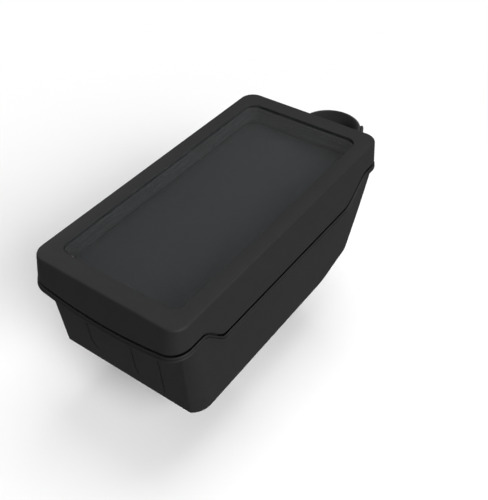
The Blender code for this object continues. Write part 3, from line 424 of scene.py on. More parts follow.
# %% Lid
WALL = 0.0032
WINDOW = (LID_HALF_WIDTH - 0.0090, LID_HALF_LENGTH - 0.0110, LID_HALF_LENGTH - 0.0105)
WINDOW_RADIUS = 0.0060
FILM_DEPTH, FILM_REACH = 0.0009, 0.0042
FRAME_THICK, CROWN = 0.0026, 0.00025
INNER_ROUND, OUTER_ROUND, LOWER_ROUND = 0.0005, 0.0011, 0.0005
REBATE, REBATE_HEIGHT = 0.0029, 0.0042


def window_outline(outset):
    """The window's outline moved outwards by outset."""
    side, rear, front = [size + outset for size in WINDOW]
    return outline(side, rear, front, WINDOW_RADIUS + outset, WINDOW_RADIUS + outset)


def make_lid():
    """Closed profile round the window: inner edge, frame, rounded outer edge, wall, rebate, underside."""
    edge = SEAM - HALF_GAP
    rings = [ring(window_outline(FILM_REACH), LID_TOP - FRAME_THICK),
             ring(window_outline(FILM_REACH), LID_TOP - FILM_DEPTH),
             ring(window_outline(0.0), LID_TOP - FILM_DEPTH),
             ring(window_outline(0.0), LID_TOP - INNER_ROUND)]
    for turn in np.radians([15, 30, 45, 60, 75, 90]):
        rings.append(ring(window_outline(INNER_ROUND * (1 - math.cos(turn))),
                          LID_TOP - INNER_ROUND * (1 - math.sin(turn))))
    inner, outer = window_outline(INNER_ROUND), lid_outline(0.0, OUTER_ROUND)
    for share in np.linspace(0, 1, 12)[1:-1]:
        rings.append(ring(inner + (outer - inner) * share, LID_TOP + CROWN * math.sin(math.pi * share)))
    for turn in np.radians(np.linspace(0, 90, 7)):
        depth = OUTER_ROUND * (1 - math.cos(turn))
        rings.append(ring(lid_outline(depth, OUTER_ROUND * (1 - math.sin(turn))), LID_TOP - depth))
    for share in np.linspace(0, 1, 14)[1:]:
        depth = OUTER_ROUND + (edge - LOWER_ROUND - OUTER_ROUND) * share
        rings.append(ring(lid_outline(depth), LID_TOP - depth))
    for turn in np.radians([30, 60, 90]):
        depth = edge - LOWER_ROUND * (1 - math.sin(turn))
        rings.append(ring(lid_outline(depth, LOWER_ROUND * (1 - math.cos(turn))), LID_TOP - depth))
    outside = len(rings)
    shoulder = edge - REBATE_HEIGHT
    middle = (shoulder + FRAME_THICK) / 2
    rings += [ring(lid_outline(edge, REBATE), LID_TOP - edge),
              ring(lid_outline(edge, REBATE), LID_TOP - shoulder),
              ring(lid_outline(shoulder, WALL), LID_TOP - shoulder),
              ring(lid_outline(middle, WALL), LID_TOP - middle),
              ring(lid_outline(FRAME_THICK, WALL), LID_TOP - FRAME_THICK)]
    slots = [0] * outside + [1] * (len(rings) - outside)
    return surface("lid", np.array(rings), [shell_cloth, lining], rows_closed=True, row_slots=slots)


dress(make_lid(), "lid", "shell", "lid_shell")

# %% [markdown]
# ## The base
# The base is a second moulding: a tub with nearly upright sides, a rear wall that leans in, a nose
# that slopes back towards its foot and a lip under the seam. The lip is double: a narrow bead along
# the gap, a groove, and below it a piping that stands a little further out, each with a round face.
# Behind the bead the edge falls away into the zip's channel, which keeps the gap dark. Three fine
# lines are pressed into the rear wall, and the left one curls at its foot. They are made as a narrow
# dip of the wall, deepest on the line and fading with the square of the distance.

# %% The base's outline
LIP_HEIGHT = 0.0028
BASE_TOP_DEPTH = SEAM_END + HALF_GAP + LIP_HEIGHT
BASE_HALF_WIDTH, BASE_REAR, NOSE_TOP = 0.0472, 0.0884, 0.0902
FOOT_SPREAD, REAR_LEAN, NOSE_SLOPE, NOSE_BELLY = 0.0005, 0.0037, 0.0262, 0.0010
REAR_RADIUS, REAR_GROWTH, FRONT_RADIUS, FRONT_GROWTH = 0.0088, 0.0035, 0.0090, 0.0030
REAR_CREASE = math.radians(34)


def way_down(height):
    """0 under the lip at the corners and 1 at the underside."""
    top = LID_TOP - BASE_TOP_DEPTH
    return (top - height) / (top - BASE_BOTTOM)


def nose(height, inset=0.0):
    """The y of the front wall at a height: a straight slope with a belly of one sine arch."""
    down = way_down(height)
    return NOSE_TOP - NOSE_SLOPE * down + NOSE_BELLY * np.sin(np.pi * np.clip(down, 0, 1)) - inset


def base_outline(height, inset=0.0):
    """Outline of the tub: half width, rear, nose and both radii change in proportion to the way down."""
    down = way_down(height)
    rear_radius = np.maximum(REAR_RADIUS + REAR_GROWTH * down - inset, SMALLEST_RADIUS)
    front_radius = np.maximum(FRONT_RADIUS + FRONT_GROWTH * down - inset, SMALLEST_RADIUS)
    return outline(BASE_HALF_WIDTH + FOOT_SPREAD * down - inset, BASE_REAR - REAR_LEAN * down - inset,
                   nose(height, inset), rear_radius, front_radius, REAR_CREASE)


print("foot of the base reaches", base_outline(BASE_BOTTOM).max(axis=0).round(4))

# %% Lines pressed into the rear wall
PRESSED_LINES = ((-0.0215, 0.0125, 0.0075), (0.0083, 0.0115, 0.0022), (0.0263, 0.0085, 0.0))
LINE_DEPTH, LINE_WIDTH, LINE_FADE, CURL_HEIGHT = 0.0008, 0.00045, 0.003, 0.0075


def pressed_lines(flat, height):
    """How far the rear wall is pressed in: depth times the exponential of minus distance squared.

    Each line has its x, the height of its foot and how far the foot curls to the side.
    """
    dip = np.zeros(len(flat))
    for x, foot, curl in PRESSED_LINES:
        line = x + curl * np.clip((foot + CURL_HEIGHT - height) / CURL_HEIGHT, 0, 1) ** 2
        fade = ease((height - foot) / LINE_FADE)
        dip += LINE_DEPTH * fade * np.exp(-((flat[:, 0] - line) / LINE_WIDTH) ** 2)
    return dip * (KIND == REAR)


print(len(PRESSED_LINES), "lines pressed", LINE_DEPTH, "deep")

# %% Base
FOOT_RADIUS, FRONT_FOOT_GROWTH = 0.0012, 0.0068
PIPING_HEIGHT, PIPING_FACE, PIPING_ROOT = 0.0012, 0.0004, 0.0010
BEAD_HEIGHT, BEAD_FACE, BEAD_ROOT = 0.0010, 0.0003, 0.0007
LIP_ROUND, GROOVE_DROP, CHANNEL, LEDGE_DROP = 0.0006, 0.0002, 0.0014, 0.0025


def make_base():
    """Rows from the middle of the underside up the outside, over the lip and down the inside."""
    front_share = ease((top_edge[:, 1] - FRONT_STEP[0]) / (CORNER_Y - FRONT_STEP[0]))
    radius = FOOT_RADIUS + FRONT_FOOT_GROWTH * front_share
    floor_outline = base_outline(BASE_BOTTOM, radius)
    rings = [ring(floor_outline * share, BASE_BOTTOM) for share in (0.0, 0.35, 0.7)]
    for turn in np.radians(np.linspace(90, 0, 10)):
        height = BASE_BOTTOM + radius * (1 - math.sin(turn))
        rings.append(ring(base_outline(height, radius * (1 - math.cos(turn))), height))
    rim = LID_TOP - SEAM - HALF_GAP
    under_lip = rim - LIP_HEIGHT
    start = BASE_BOTTOM + radius
    for share in np.linspace(0, 1, 62)[1:]:
        height = start + (under_lip - start) * share
        flat = base_outline(height)
        flat[:, 1] += pressed_lines(flat, height)
        rings.append(ring(flat, height))
    for low, high, face, root in ((under_lip, under_lip + PIPING_HEIGHT, PIPING_FACE, PIPING_ROOT),
                                  (rim - BEAD_HEIGHT, rim, BEAD_FACE, BEAD_ROOT)):
        rings.append(ring(lid_outline(LID_TOP - low, root), low - GROOVE_DROP))
        for turn in np.radians(np.linspace(-90, 90, 9)):
            height = (low + high) / 2 + (high - low) / 2 * math.sin(turn)
            inset = LIP_ROUND * (1 - math.cos(turn)) - face
            rings.append(ring(lid_outline(LID_TOP - height, inset), height))
    for inset, drop in ((0.0007, 0.0004), (0.0009, 0.0009)):
        rings.append(ring(lid_outline(LID_TOP - rim, inset), rim - drop))
    skin = lid_outline(SEAM + HALF_GAP, CHANNEL)
    ledge = rim - LEDGE_DROP
    outside = len(rings)
    rings += [ring(skin, rim - CHANNEL), ring(skin, ledge)]
    for share in (0.0, 0.33, 0.66):
        height = ledge + (start - ledge) * share
        rings.append(ring(base_outline(height, WALL), height))
    inner_radius = np.maximum(radius - WALL, SMALLEST_RADIUS)
    for turn in np.radians([0, 30, 60, 90]):
        height = BASE_BOTTOM + WALL + inner_radius * (1 - math.sin(turn))
        rings.append(ring(base_outline(height, WALL + inner_radius * (1 - math.cos(turn))), height))
    rings.append(ring(floor_outline * 0.0, BASE_BOTTOM + WALL))
    slots = [0] * outside + [1] * (len(rings) - outside)
    return surface("base", np.array(rings), [shell_cloth, lining], row_slots=slots)


dress(make_base(), "base", "shell", "base_shell")

# %% [markdown]
# ## The nose pad
# In front the base carries an upright pad on its sloping nose, on which the front strap lies. It
# belongs to the same moulding. Its section is a wedge with rounded corners, carried across the bag
# and drawn in at both ends.

# %% One profile carried across the bag


def rounded_ends(half, soft):
    """Places from -half to half and the inset at each: a quarter circle of radius soft at both ends."""
    turns = np.radians(np.linspace(0, 90, 6))
    reach, inset = half - soft * (1 - np.sin(turns)), soft * (1 - np.cos(turns))
    return np.concatenate([-reach[::-1], reach]), np.concatenate([inset[::-1], inset])


def across_bag(name, profile, half, soft, material, angle):
    """Solid with one y, z profile from -half to half in x, drawn in towards its middle at both ends."""
    places, inset = rounded_ends(half, soft)
    middle, span = (profile.max(axis=0) + profile.min(axis=0)) / 2, np.ptp(profile, axis=0) / 2
    flat = middle + (profile - middle) * (1 - inset[:, None, None] / span)
    across = np.broadcast_to(places[:, None, None], flat.shape[:2] + (1,))
    return surface(name, np.concatenate([across, flat], axis=2), material, caps=True, angle=angle)


# %% Nose pad
CLEARANCE = 0.0003
KEEPER_LOW, KEEPER_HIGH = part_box("steerer_keeper")
PAD_FACE = KEEPER_LOW.y - CLEARANCE
PAD_HALF_WIDTH, PAD_ROUND, PAD_ROOT = 0.0240, 0.0012, 0.0015
low, high = KEEPER_LOW.z, LID_TOP - BASE_TOP_DEPTH + 0.0004
foot = low - 0.004
corners = np.array([(nose(foot, PAD_ROOT), foot), (nose(foot) - 0.0003, foot - 0.0003),
                    (PAD_FACE - 0.0008, low - 0.0001), (PAD_FACE - 0.0002, low + 0.0006),
                    (PAD_FACE, low + 0.0014), (PAD_FACE, high), (nose(high, PAD_ROOT), high)])
dress(across_bag("nose_pad", corners, PAD_HALF_WIDTH, PAD_ROUND, shell_cloth, 60), "base", "shell")

# %% [markdown]
# ## The window film
# The window is a sheet of clear TPU about half a millimetre thick, sewn under the frame. TPU is a
# soft, glossy plastic with an IOR near 1.5. It is never quite flat: it sags a little and waves
# slowly, every 70 mm or so, which bends the reflections. Light from the lamps goes straight through
# it, so the frame throws its shadow on the pocket behind.

# %% Film material
film_material, tree, output = new_material("clear_tpu_film")
place = add_node(tree, "ShaderNodeTexCoord")
ripple = add_node(tree, "ShaderNodeTexNoise", {"Vector": (place, "Object"), "Scale": 14.0, "Detail": 0.0})
bump = add_node(tree, "ShaderNodeBump", {"Height": (ripple, "Fac"), "Strength": 0.3, "Distance": 0.003})
shader = add_node(tree, "ShaderNodeBsdfPrincipled", {
    "Base Color": linear("#eef0f1"), "Roughness": 0.03, "IOR": 1.49, "Transmission Weight": 1.0,
    "Normal": (bump, 0)})
path = tree.nodes.new("ShaderNodeLightPath")
clear = add_node(tree, "ShaderNodeBsdfTransparent", {"Color": linear("#eef0f1")})
both = add_node(tree, "ShaderNodeMixShader", {0: (path, "Is Shadow Ray"), 1: (shader, 0), 2: (clear, 0)})
tree.links.new(both.outputs[0], output.inputs[0])
print("window material:", film_material.name)

# %% Film
FILM_TOP = LID_TOP - FILM_DEPTH - 0.0002
FILM_THICK, FILM_EDGE, FILM_SAG, FILM_WAVE = 0.0005, 0.0035, 0.0006, 0.00010
SAG_HALF_WIDTH, SAG_HALF_LENGTH = 0.0405, 0.085


def make_film():
    """Sheet from the middle of its underside round its edge to the middle of its top.

    The sag is a product of two parabolas, and a slow wave of x and y rides on it.
    """
    flat = window_outline(FILM_EDGE)[::2]
    shares = np.concatenate([np.linspace(0, 1, 40), np.linspace(1, 0, 40)])
    heights = np.repeat([FILM_TOP - FILM_THICK, FILM_TOP], 40)
    grid = flat[None] * shares[:, None, None]
    x, y = grid[..., 0] / SAG_HALF_WIDTH, grid[..., 1] / SAG_HALF_LENGTH
    inside = np.clip(1 - x ** 2, 0, 1) * np.clip(1 - y ** 2, 0, 1)
    sag = inside * (FILM_SAG + FILM_WAVE * np.sin(5 * y + 2 * x))
    return surface("film", np.dstack([grid, heights[:, None] - sag]), film_material, angle=80)


dress(make_film(), "lid", "film", "window_film")

# %% [markdown]
# ## Stitches
# A row of lockstitch shows as short, plump dashes of spun polyester, about 2.2 mm long, sunk a little
# into the cloth, dull and slightly lighter than it. Each one is a capsule of a few dozen faces, and
# all of one seam are one mesh: the capsule's points are worked out once and placed on every centre
# with one array product.

# %% Thread
thread, tree, output = new_material("polyester_thread")
shader = add_node(tree, "ShaderNodeBsdfPrincipled", {
    "Base Color": linear("#323234"), "Roughness": 0.6, "IOR": 1.5, "Sheen Weight": 0.2})
tree.links.new(shader.outputs[0], output.inputs[0])
print("thread:", thread.name)

# %% A row of stitches
STITCH_LENGTH, THREAD_THICK = 0.0022, 0.0004


def stitches(name, centres, ways, normals):
    """Capsules on centres, lying along ways: centre + l way + a side + b normal for each local point."""
    along = np.array([-0.5, -0.42, -0.2, 0.2, 0.42, 0.5]) * STITCH_LENGTH
    radius = np.array([0.05, 0.7, 1.0, 1.0, 0.7, 0.05]) * THREAD_THICK / 2
    turns = np.arange(6) * math.pi / 3
    ways = ways / np.linalg.norm(ways, axis=1)[:, None]
    normals = normals / np.linalg.norm(normals, axis=1)[:, None]
    sides = np.cross(ways, normals)
    local = np.stack([np.repeat(along, 6), np.outer(radius, np.cos(turns)).ravel(),
                      np.outer(radius, np.sin(turns)).ravel()], axis=1)
    frames = np.stack([ways, sides, normals], axis=1)
    points = centres[:, None, :] + np.einsum("lk,nkx->nlx", local, frames)
    row, column = [part.ravel() for part in np.meshgrid(np.arange(5), np.arange(6), indexing="ij")]
    after = (column + 1) % 6
    quads = np.stack([row * 6 + column, row * 6 + after, row * 6 + 6 + after, row * 6 + 6 + column], axis=1)
    starts = np.arange(len(centres)) * 36
    faces = (quads[None] + starts[:, None, None]).reshape(-1, 4).tolist()
    faces += (np.arange(6)[None] + starts[:, None]).tolist()
    faces += (np.arange(30, 36)[None] + starts[:, None]).tolist()
    mesh = bpy.data.meshes.new(name)
    mesh.from_pydata(points.reshape(-1, 3), [], faces)
    mesh.materials.append(thread)
    builder = bmesh.new()
    builder.from_mesh(mesh)
    bmesh.ops.recalc_face_normals(builder, faces=builder.faces)
    builder.to_mesh(mesh)
    builder.free()
    mesh.shade_smooth()
    piece = bpy.data.objects.new(name, mesh)
    bpy.context.scene.collection.objects.link(piece)
    return piece


def spaced(points, pitch):
    """Even steps along a line through points: centres and the direction of the line at each."""
    points = np.asarray(points, float)
    lengths = np.concatenate([[0], np.cumsum(np.linalg.norm(np.diff(points, axis=0), axis=1))])
    count = max(2, int(lengths[-1] / pitch))
    at = (np.arange(count) + 0.5) * lengths[-1] / count
    centres = np.stack([np.interp(at, lengths, points[:, k]) for k in range(3)], axis=1)
    ahead = np.stack([np.interp(at + pitch / 4, lengths, points[:, k]) for k in range(3)], axis=1)
    return centres, ahead - centres + 1e-9


# %% [markdown]
# ## The binding under the film
# A tape holds the film against the frame from below. It is a flat section with rounded edges,
# carried round the window.

# %% Binding


def make_binding():
    """Flat ring under the film: a section like a rounded bar, carried round the window."""
    low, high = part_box("film_binding")[0].z, FILM_TOP - FILM_THICK - 0.0002
    middle, thick = (low + high) / 2, (high - low) / 2
    rings = []
    for turn in np.radians(np.arange(0, 360, 22.5) + 11.25):
        across = 0.0018 + 0.0014 * np.clip(1.25 * math.cos(turn), -1, 1)
        rings.append(ring(window_outline(across), middle + thick * np.clip(1.25 * math.sin(turn), -1, 1)))
    return surface("binding", np.array(rings), binding, rows_closed=True)


dress(make_binding(), "lid", "fabric", "film_binding")

# %% [markdown]
# ## The pocket behind the window
# Under the film hangs a flat pocket: a padded back of foam in brushed knit, a soft gusset round
# three sides and a closing tab at the rear, which is taped shut. The back is stuffed, so it is blown
# up as cloth: air presses from inside for twenty frames, and no point may move more than the foam
# would let it. The edge, where it is sewn, stays put.

# %% Padded back
POCKET_HALF_WIDTH, POCKET_REAR, POCKET_FRONT, POCKET_CORNER = 0.0398, 0.0841, 0.0846, 0.008
SEWN_HALF_LENGTH, SEWN_EDGE = 0.0843, 0.985
PAD_MARGIN, PAD_PRESSURE, PAD_GIVE, PAD_FILL = 0.0005, 4.0, 0.0006, 0.4


def pocket_outline(inset=0.0):
    """The pocket's outline moved inwards by inset."""
    return outline(POCKET_HALF_WIDTH - inset, POCKET_REAR - inset, POCKET_FRONT - inset,
                   POCKET_CORNER - inset, POCKET_CORNER - inset)


def pad_grid(low, high):
    """Closed pad from the pocket's outline: both faces meet in a half ellipse along the edge."""
    flat = pocket_outline()[::3]
    middle = np.array([0.0, (POCKET_FRONT - POCKET_REAR) / 2])
    shares = np.concatenate([np.linspace(0, 0.97, 22), [0.99]])
    thick = (high - low) / 2
    rings = [ring(middle + (flat - middle) * share, low) for share in shares]
    rings += [ring(middle + (flat - middle) * (0.99 + 0.01 * math.cos(turn)),
                   (low + high) / 2 + thick * math.sin(turn)) for turn in np.radians([-60, -25, 0, 25, 60])]
    rings += [ring(middle + (flat - middle) * share, high) for share in shares[::-1]]
    return np.array(rings)


def inflate(piece, plane):
    """Run the piece as cloth under pressure, then move each point towards the result, at most PAD_GIVE.

    Points beyond the share SEWN_EDGE of the half sizes are pinned. None may pass the plane above.
    """
    mesh = piece.data
    before = np.zeros(len(mesh.vertices) * 3)
    mesh.vertices.foreach_get("co", before)
    before = before.reshape(-1, 3)
    rim = np.maximum(np.abs(before[:, 0]) / POCKET_HALF_WIDTH,
                     np.abs(before[:, 1]) / SEWN_HALF_LENGTH) > SEWN_EDGE
    group = piece.vertex_groups.new(name="sewn")
    group.add(np.flatnonzero(rim).tolist(), 1.0, "REPLACE")
    cloth = piece.modifiers.new("air", "CLOTH")
    cloth.settings.use_pressure = True
    cloth.settings.uniform_pressure_force = PAD_PRESSURE
    cloth.settings.vertex_group_mass = "sewn"
    cloth.settings.effector_weights.gravity = 0.0
    cloth.settings.quality = 5
    for number in range(1, 21):
        bpy.context.scene.frame_set(number)
    graph = bpy.context.evaluated_depsgraph_get()
    blown = piece.evaluated_get(graph)
    after = np.zeros(len(mesh.vertices) * 3)
    blown.data.vertices.foreach_get("co", after)
    move = after.reshape(-1, 3) - before
    length = np.linalg.norm(move, axis=1)
    move *= np.minimum(1.0, PAD_GIVE / np.maximum(length, 1e-9))[:, None]
    result = before + move
    result[:, 2] = np.minimum(result[:, 2], plane)
    piece.modifiers.remove(cloth)
    piece.vertex_groups.clear()
    mesh.vertices.foreach_set("co", result.ravel())
    mesh.update()
    bpy.context.scene.frame_set(1)
    print("pad moved by up to", round(float(np.linalg.norm(move, axis=1).max()) * 1000, 2), "mm")


low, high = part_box("pocket_backing")
backing = surface("pocket_back", pad_grid(low.z + PAD_MARGIN, high.z - PAD_MARGIN), lining, angle=80)
inflate(backing, high.z)
dress(backing, "lid", "fabric", "pocket_backing")

# %% Gusset
KNIT_THICK, FOLD_DEPTH = 0.0007, 0.0006
low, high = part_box("pocket_gusset")
on_pocket = np.isin(KIND, [SIDE, FRONT_ARC, FRONT, LEFT_FRONT_ARC, LEFT_SIDE])
folds = np.linspace(0, 1, 13)
heights = low.z + (high.z - low.z) * folds
inwards = FOLD_DEPTH * np.sin(2 * math.pi * folds) ** 2
outside = list(zip(heights, inwards))
inside = [(height, inset + KNIT_THICK) for height, inset in outside[::-1]]
rows = [ring(pocket_outline(inset)[on_pocket], height) for height, inset in outside + inside]
gusset = surface("pocket_gusset_knit", np.array(rows).transpose(1, 0, 2), binding, caps=True)
dress(gusset, "lid", "fabric", "pocket_gusset")

# %% [markdown]
# ## Slabs
# The closing tab, like many small parts, is a flat piece with rounded edges. One function makes them
# all: rows go from the middle of one face to its edge, round the edge in a half ellipse, and back to
# the middle of the other face.

# %% A rounded slab


def slab(name, flat, low, high, rounding, material, place):
    """Flat piece with rounded edges: the outline shrinks towards its middle on each face.

    The edge is a half ellipse of the given rounding, and place turns (a, b, height) into x, y, z.
    """
    middle = flat.mean(axis=0)
    span = np.abs(flat - middle).max(axis=0)
    shares = np.linspace(0, 1, 5)[:-1]
    rings = [ring(middle + (flat - middle) * (1 - rounding / span) * share, low) for share in shares]
    for turn in np.radians(np.linspace(-90, 90, 7)):
        inset = rounding * (1 - math.cos(turn))
        rings.append(ring(middle + (flat - middle) * (1 - inset / span),
                          (low + high) / 2 + (high - low) / 2 * math.sin(turn)))
    rings += [ring(middle + (flat - middle) * (1 - rounding / span) * share, high)
              for share in shares[::-1]]
    return surface(name, place(np.array(rings)), material)


def rounded_outline(half_a, half_b, radius, centre=(0.0, 0.0), steps=7):
    """Rounded rectangle as points: four quarter circles round their corner centres."""
    turns = np.radians(np.linspace(0, 90, steps))
    points = []
    for quarter, (way_a, way_b) in enumerate(((1, 1), (-1, 1), (-1, -1), (1, -1))):
        turned = turns + quarter * math.pi / 2
        points.append(np.column_stack([
            centre[0] + way_a * (half_a - radius) + radius * np.cos(turned),
            centre[1] + way_b * (half_b - radius) + radius * np.sin(turned)]))
    return np.concatenate(points)


def block(name, low, high, rounding, material, thin="z"):
    """Box with rounded edges from corner to corner; thin names the axis across its flat faces."""
    order = {"x": (1, 2, 0), "y": (0, 2, 1), "z": (0, 1, 2)}[thin]
    low, high = np.array(low), np.array(high)
    centre, half = (low + high)[list(order)] / 2, (high - low)[list(order)] / 2
    flat = rounded_outline(half[0], half[1], min(rounding, half[0] * 0.9, half[1] * 0.9), centre[:2])
    return slab(name, flat, centre[2] - half[2], centre[2] + half[2],
                min(rounding, half[2] * 0.9, half[0] * 0.6, half[1] * 0.6),
                material, place=lambda grid: grid[..., np.argsort(order)])


# %% Closing tab
STITCH_PITCH = 0.003
low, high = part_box("pocket_closing_tab")
dress(block("closing_tab", low, high, 0.0008, binding, thin="y"), "lid", "fabric", "pocket_closing_tab")
seam_half, seam_face = 0.0135, low.y - 0.00005
seam_low, seam_high = low.z + 0.0012, high.z - 0.0012
centres, ways = spaced([(-seam_half, seam_face, seam_low), (-seam_half, seam_face, seam_high),
                        (seam_half, seam_face, seam_high), (seam_half, seam_face, seam_low)], STITCH_PITCH)
dress(stitches("closing_tab_seam", centres, ways, np.broadcast_to([0.0, -1.0, 0.0], centres.shape)),
      "lid", "fabric")

# %% [markdown]
# ## Webbing
# The straps are nylon webbing, one side of it brushed so that hook-and-loop holds. Woven webbing has
# ribs across it every 1.4 mm or so, a fine warp along it and a firm selvedge, and its fuzz, in tufts
# of 0.7 mm, keeps it dull. The strap's own UV map holds metres along and across it, so the weave
# follows every bend. Sines of both give the ribs.

# %% Webbing material


def webbing_material(name, dark, light, rib, warp, depth):
    """Woven strap: the height is the sine of length over the rib's pitch times that of width over the warp's.

    A noise adds the fuzz. The colour is painted shade: lighter on the raised weave and darker in its hollows.
    Pitches are in metres.
    """
    material, tree, output = new_material(name)
    place = add_node(tree, "ShaderNodeUVMap", uv_map="strip")
    parts = add_node(tree, "ShaderNodeSeparateXYZ", {"Vector": (place, "UV")})
    waves = []
    for axis, pitch in (("X", rib), ("Y", warp)):
        angle = add_node(tree, "ShaderNodeMath", {0: (parts, axis), 1: 2 * math.pi / pitch},
                         operation="MULTIPLY")
        waves.append(add_node(tree, "ShaderNodeMath", {0: (angle, 0)}, operation="SINE"))
    weave = add_node(tree, "ShaderNodeMath", {0: (waves[0], 0), 1: (waves[1], 0)}, operation="MULTIPLY")
    raised = add_node(tree, "ShaderNodeMapRange", {"Value": (weave, 0), "From Min": -1.0, "From Max": 1.0})
    space = add_node(tree, "ShaderNodeTexCoord")
    fuzz = add_node(tree, "ShaderNodeTexNoise", {"Vector": (space, "Object"), "Scale": 1400.0, "Detail": 3.0})
    height = add_node(tree, "ShaderNodeMath", {0: (raised, 0), 1: (fuzz, "Fac")}, operation="ADD")
    # Painted shade of the weave: the raised parts take the light colour and the hollows the dark one.
    colour = mixed_colour(tree, (raised, 0), dark, light)
    bump = add_node(tree, "ShaderNodeBump", {"Height": (height, 0), "Strength": 0.6, "Distance": depth})
    shader = add_node(tree, "ShaderNodeBsdfPrincipled", {
        "Base Color": (colour, 2), "Roughness": 0.8, "IOR": 1.53, "Specular IOR Level": 0.3,
        "Sheen Weight": 0.15, "Sheen Roughness": 0.5, "Normal": (bump, 0)})
    tree.links.new(shader.outputs[0], output.inputs[0])
    return material


webbing = webbing_material("nylon_webbing", "#131314", "#232324", 0.0014, 0.0016, 0.00016)
zip_cloth = webbing_material("polyester_zip_tape", "#141415", "#202021", 0.0009, 0.0007, 0.00008)
print("woven materials:", webbing.name, zip_cloth.name)

# %% A strip along a path
SELVEDGE, STRIP_EDGE, TIP_LENGTH, PATH_STEP = 0.85, 0.0007, 0.005, 0.0015


def arc(centre, radius, start, end, steps):
    """Points on an arc, angles in degrees from the plane's first axis."""
    turns = np.radians(np.linspace(start, end, steps + 1))
    return np.column_stack([centre[0] + radius * np.cos(turns), centre[1] + radius * np.sin(turns)])


def strip_grid(path, thickness, low, high):
    """Section carried along a flat path, as (points, uv): first and second path axis, then the width.

    Each point is path + p normal, at width q. The section is a flat bar whose edges are half ellipses,
    and its faces dip slightly just inside the selvedge.
    """
    path = np.asarray(path, float)
    legs = np.diff(path, axis=0)
    keep = np.concatenate([[True], np.linalg.norm(legs, axis=1) > 1e-6])
    path = path[keep]
    legs = np.diff(path, axis=0)
    lengths = np.concatenate([[0], np.cumsum(np.linalg.norm(legs, axis=1))])
    legs /= np.linalg.norm(legs, axis=1)[:, None]
    tangent = np.vstack([legs[:1], legs]) + np.vstack([legs, legs[-1:]])
    tangent /= np.linalg.norm(tangent, axis=1)[:, None]
    normal = np.column_stack([-tangent[:, 1], tangent[:, 0]])
    half, edge = (high - low) / 2, STRIP_EDGE
    across = np.linspace(-1, 1, 9)[1:-1] * (half - edge)
    side = np.radians(np.linspace(-90, 90, 7))
    face = thickness / 2 * np.where(np.abs(across) > half * 0.8, SELVEDGE, 1.0)
    width = np.concatenate([across, half - edge + edge * np.cos(side), across[::-1],
                            -half + edge - edge * np.cos(side)])
    depth = np.concatenate([-face, thickness / 2 * np.sin(side), face[::-1], -thickness / 2 * np.sin(side)])
    flat = path[:, None, :] + normal[:, None, :] * depth[None, :, None]
    wide = np.broadcast_to((low + high) / 2 + width, flat.shape[:2])
    uv = np.stack([np.broadcast_to(lengths[:, None], flat.shape[:2]), wide], axis=2)
    return np.dstack([flat, wide]), uv


def strip(name, path, thickness, axis, low, high, material, tip=False):
    """Closed strip along a path in the plane across axis; with tip, its far end is rounded off."""
    grid, uv = strip_grid(path, thickness, low, high)
    if tip:
        reach = uv[-1, 0, 0] - uv[:, 0, 0]
        share = np.sqrt(np.clip(1 - (1 - np.clip(reach / TIP_LENGTH, 0, 1)) ** 2, 0.02, 1))
        middle = (low + high) / 2
        narrow = 1 - 0.45 * (1 - share)
        grid[..., 2] = middle + (grid[..., 2] - middle) * narrow[:, None]
    order = {"x": (2, 0, 1), "y": (0, 2, 1), "z": (0, 1, 2)}[axis]
    return surface(name, grid[..., list(order)], material, caps=True, uv=uv)


def dense(path):
    """The same path with a point at least every PATH_STEP."""
    path = np.asarray(path, float)
    lengths = np.concatenate([[0], np.cumsum(np.linalg.norm(np.diff(path, axis=0), axis=1))])
    at = np.unique(np.concatenate([lengths, np.arange(0, lengths[-1], PATH_STEP)]))
    at = at[np.concatenate([[True], np.diff(at) > 1e-5])]
    return np.column_stack([np.interp(at, lengths, path[:, k]) for k in range(2)])


# %% [markdown]
# ## The straps under the base
# Two straps hang under the base as closed loops. Each leaves its keeper, goes round and comes back on
# the left, where its end lies on its start and hook-and-loop holds it. The path is straight runs and
# arcs in the plane across the bag.

# %% Straps under the base
STRAP_THICK, KEEPER_THICK = 0.0016, 0.0012
LAYER = STRAP_THICK + CLEARANCE


def loop_path():
    """Loop seen from the front: up the left side, over, down the right, under and up outside its start."""
    half, above, below, overlap = 0.0202, 0.006, 0.009, 0.024
    top, bottom = BASE_BOTTOM - CLEARANCE - STRAP_THICK / 2, -0.0385
    outer = below + LAYER
    end = bottom + outer + 0.0015
    path = np.vstack([[(-half, end)], arc((-half + above, top - above), above, 180, 90, 12),
                      arc((half - above, top - above), above, 90, 0, 12),
                      arc((half - below, bottom + below), below, 0, -90, 16),
                      arc((-half - LAYER + outer, bottom + outer), outer, -90, -180, 16),
                      [(-half - LAYER, end + overlap)]])
    return dense(path)


SEAM_SIDEWAYS, SEAM_BOTTOM, SEAM_TOP = 0.0095, -0.026, -0.0075
path = loop_path()
for name in ("rear", "front"):
    low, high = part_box("tube_strap_" + name)
    strap = strip("tube_webbing_" + name, path, STRAP_THICK, "y", low.y, high.y, webbing, tip=True)
    dress(strap, "base", "fabric", "tube_strap_" + name)
    middle = (low.y + high.y) / 2
    left = low.x - 0.00002
    seams = [spaced([(left, middle + side * SEAM_SIDEWAYS, level) for level in (SEAM_BOTTOM, SEAM_TOP)],
                    STITCH_PITCH) for side in (-1, 1)]
    centres, ways = [np.concatenate(part) for part in zip(*seams)]
    dress(stitches("tube_strap_seam_" + name, centres, ways,
                   np.broadcast_to([-1.0, 0.0, 0.0], centres.shape)), "base", "fabric")

# %% [markdown]
# ## Keepers
# Each strap slides under a short keeper tape that is sewn to the shell at both ends with a box
# stitch. A keeper is the same kind of strip: flat on the shell, up and over the strap, down again.

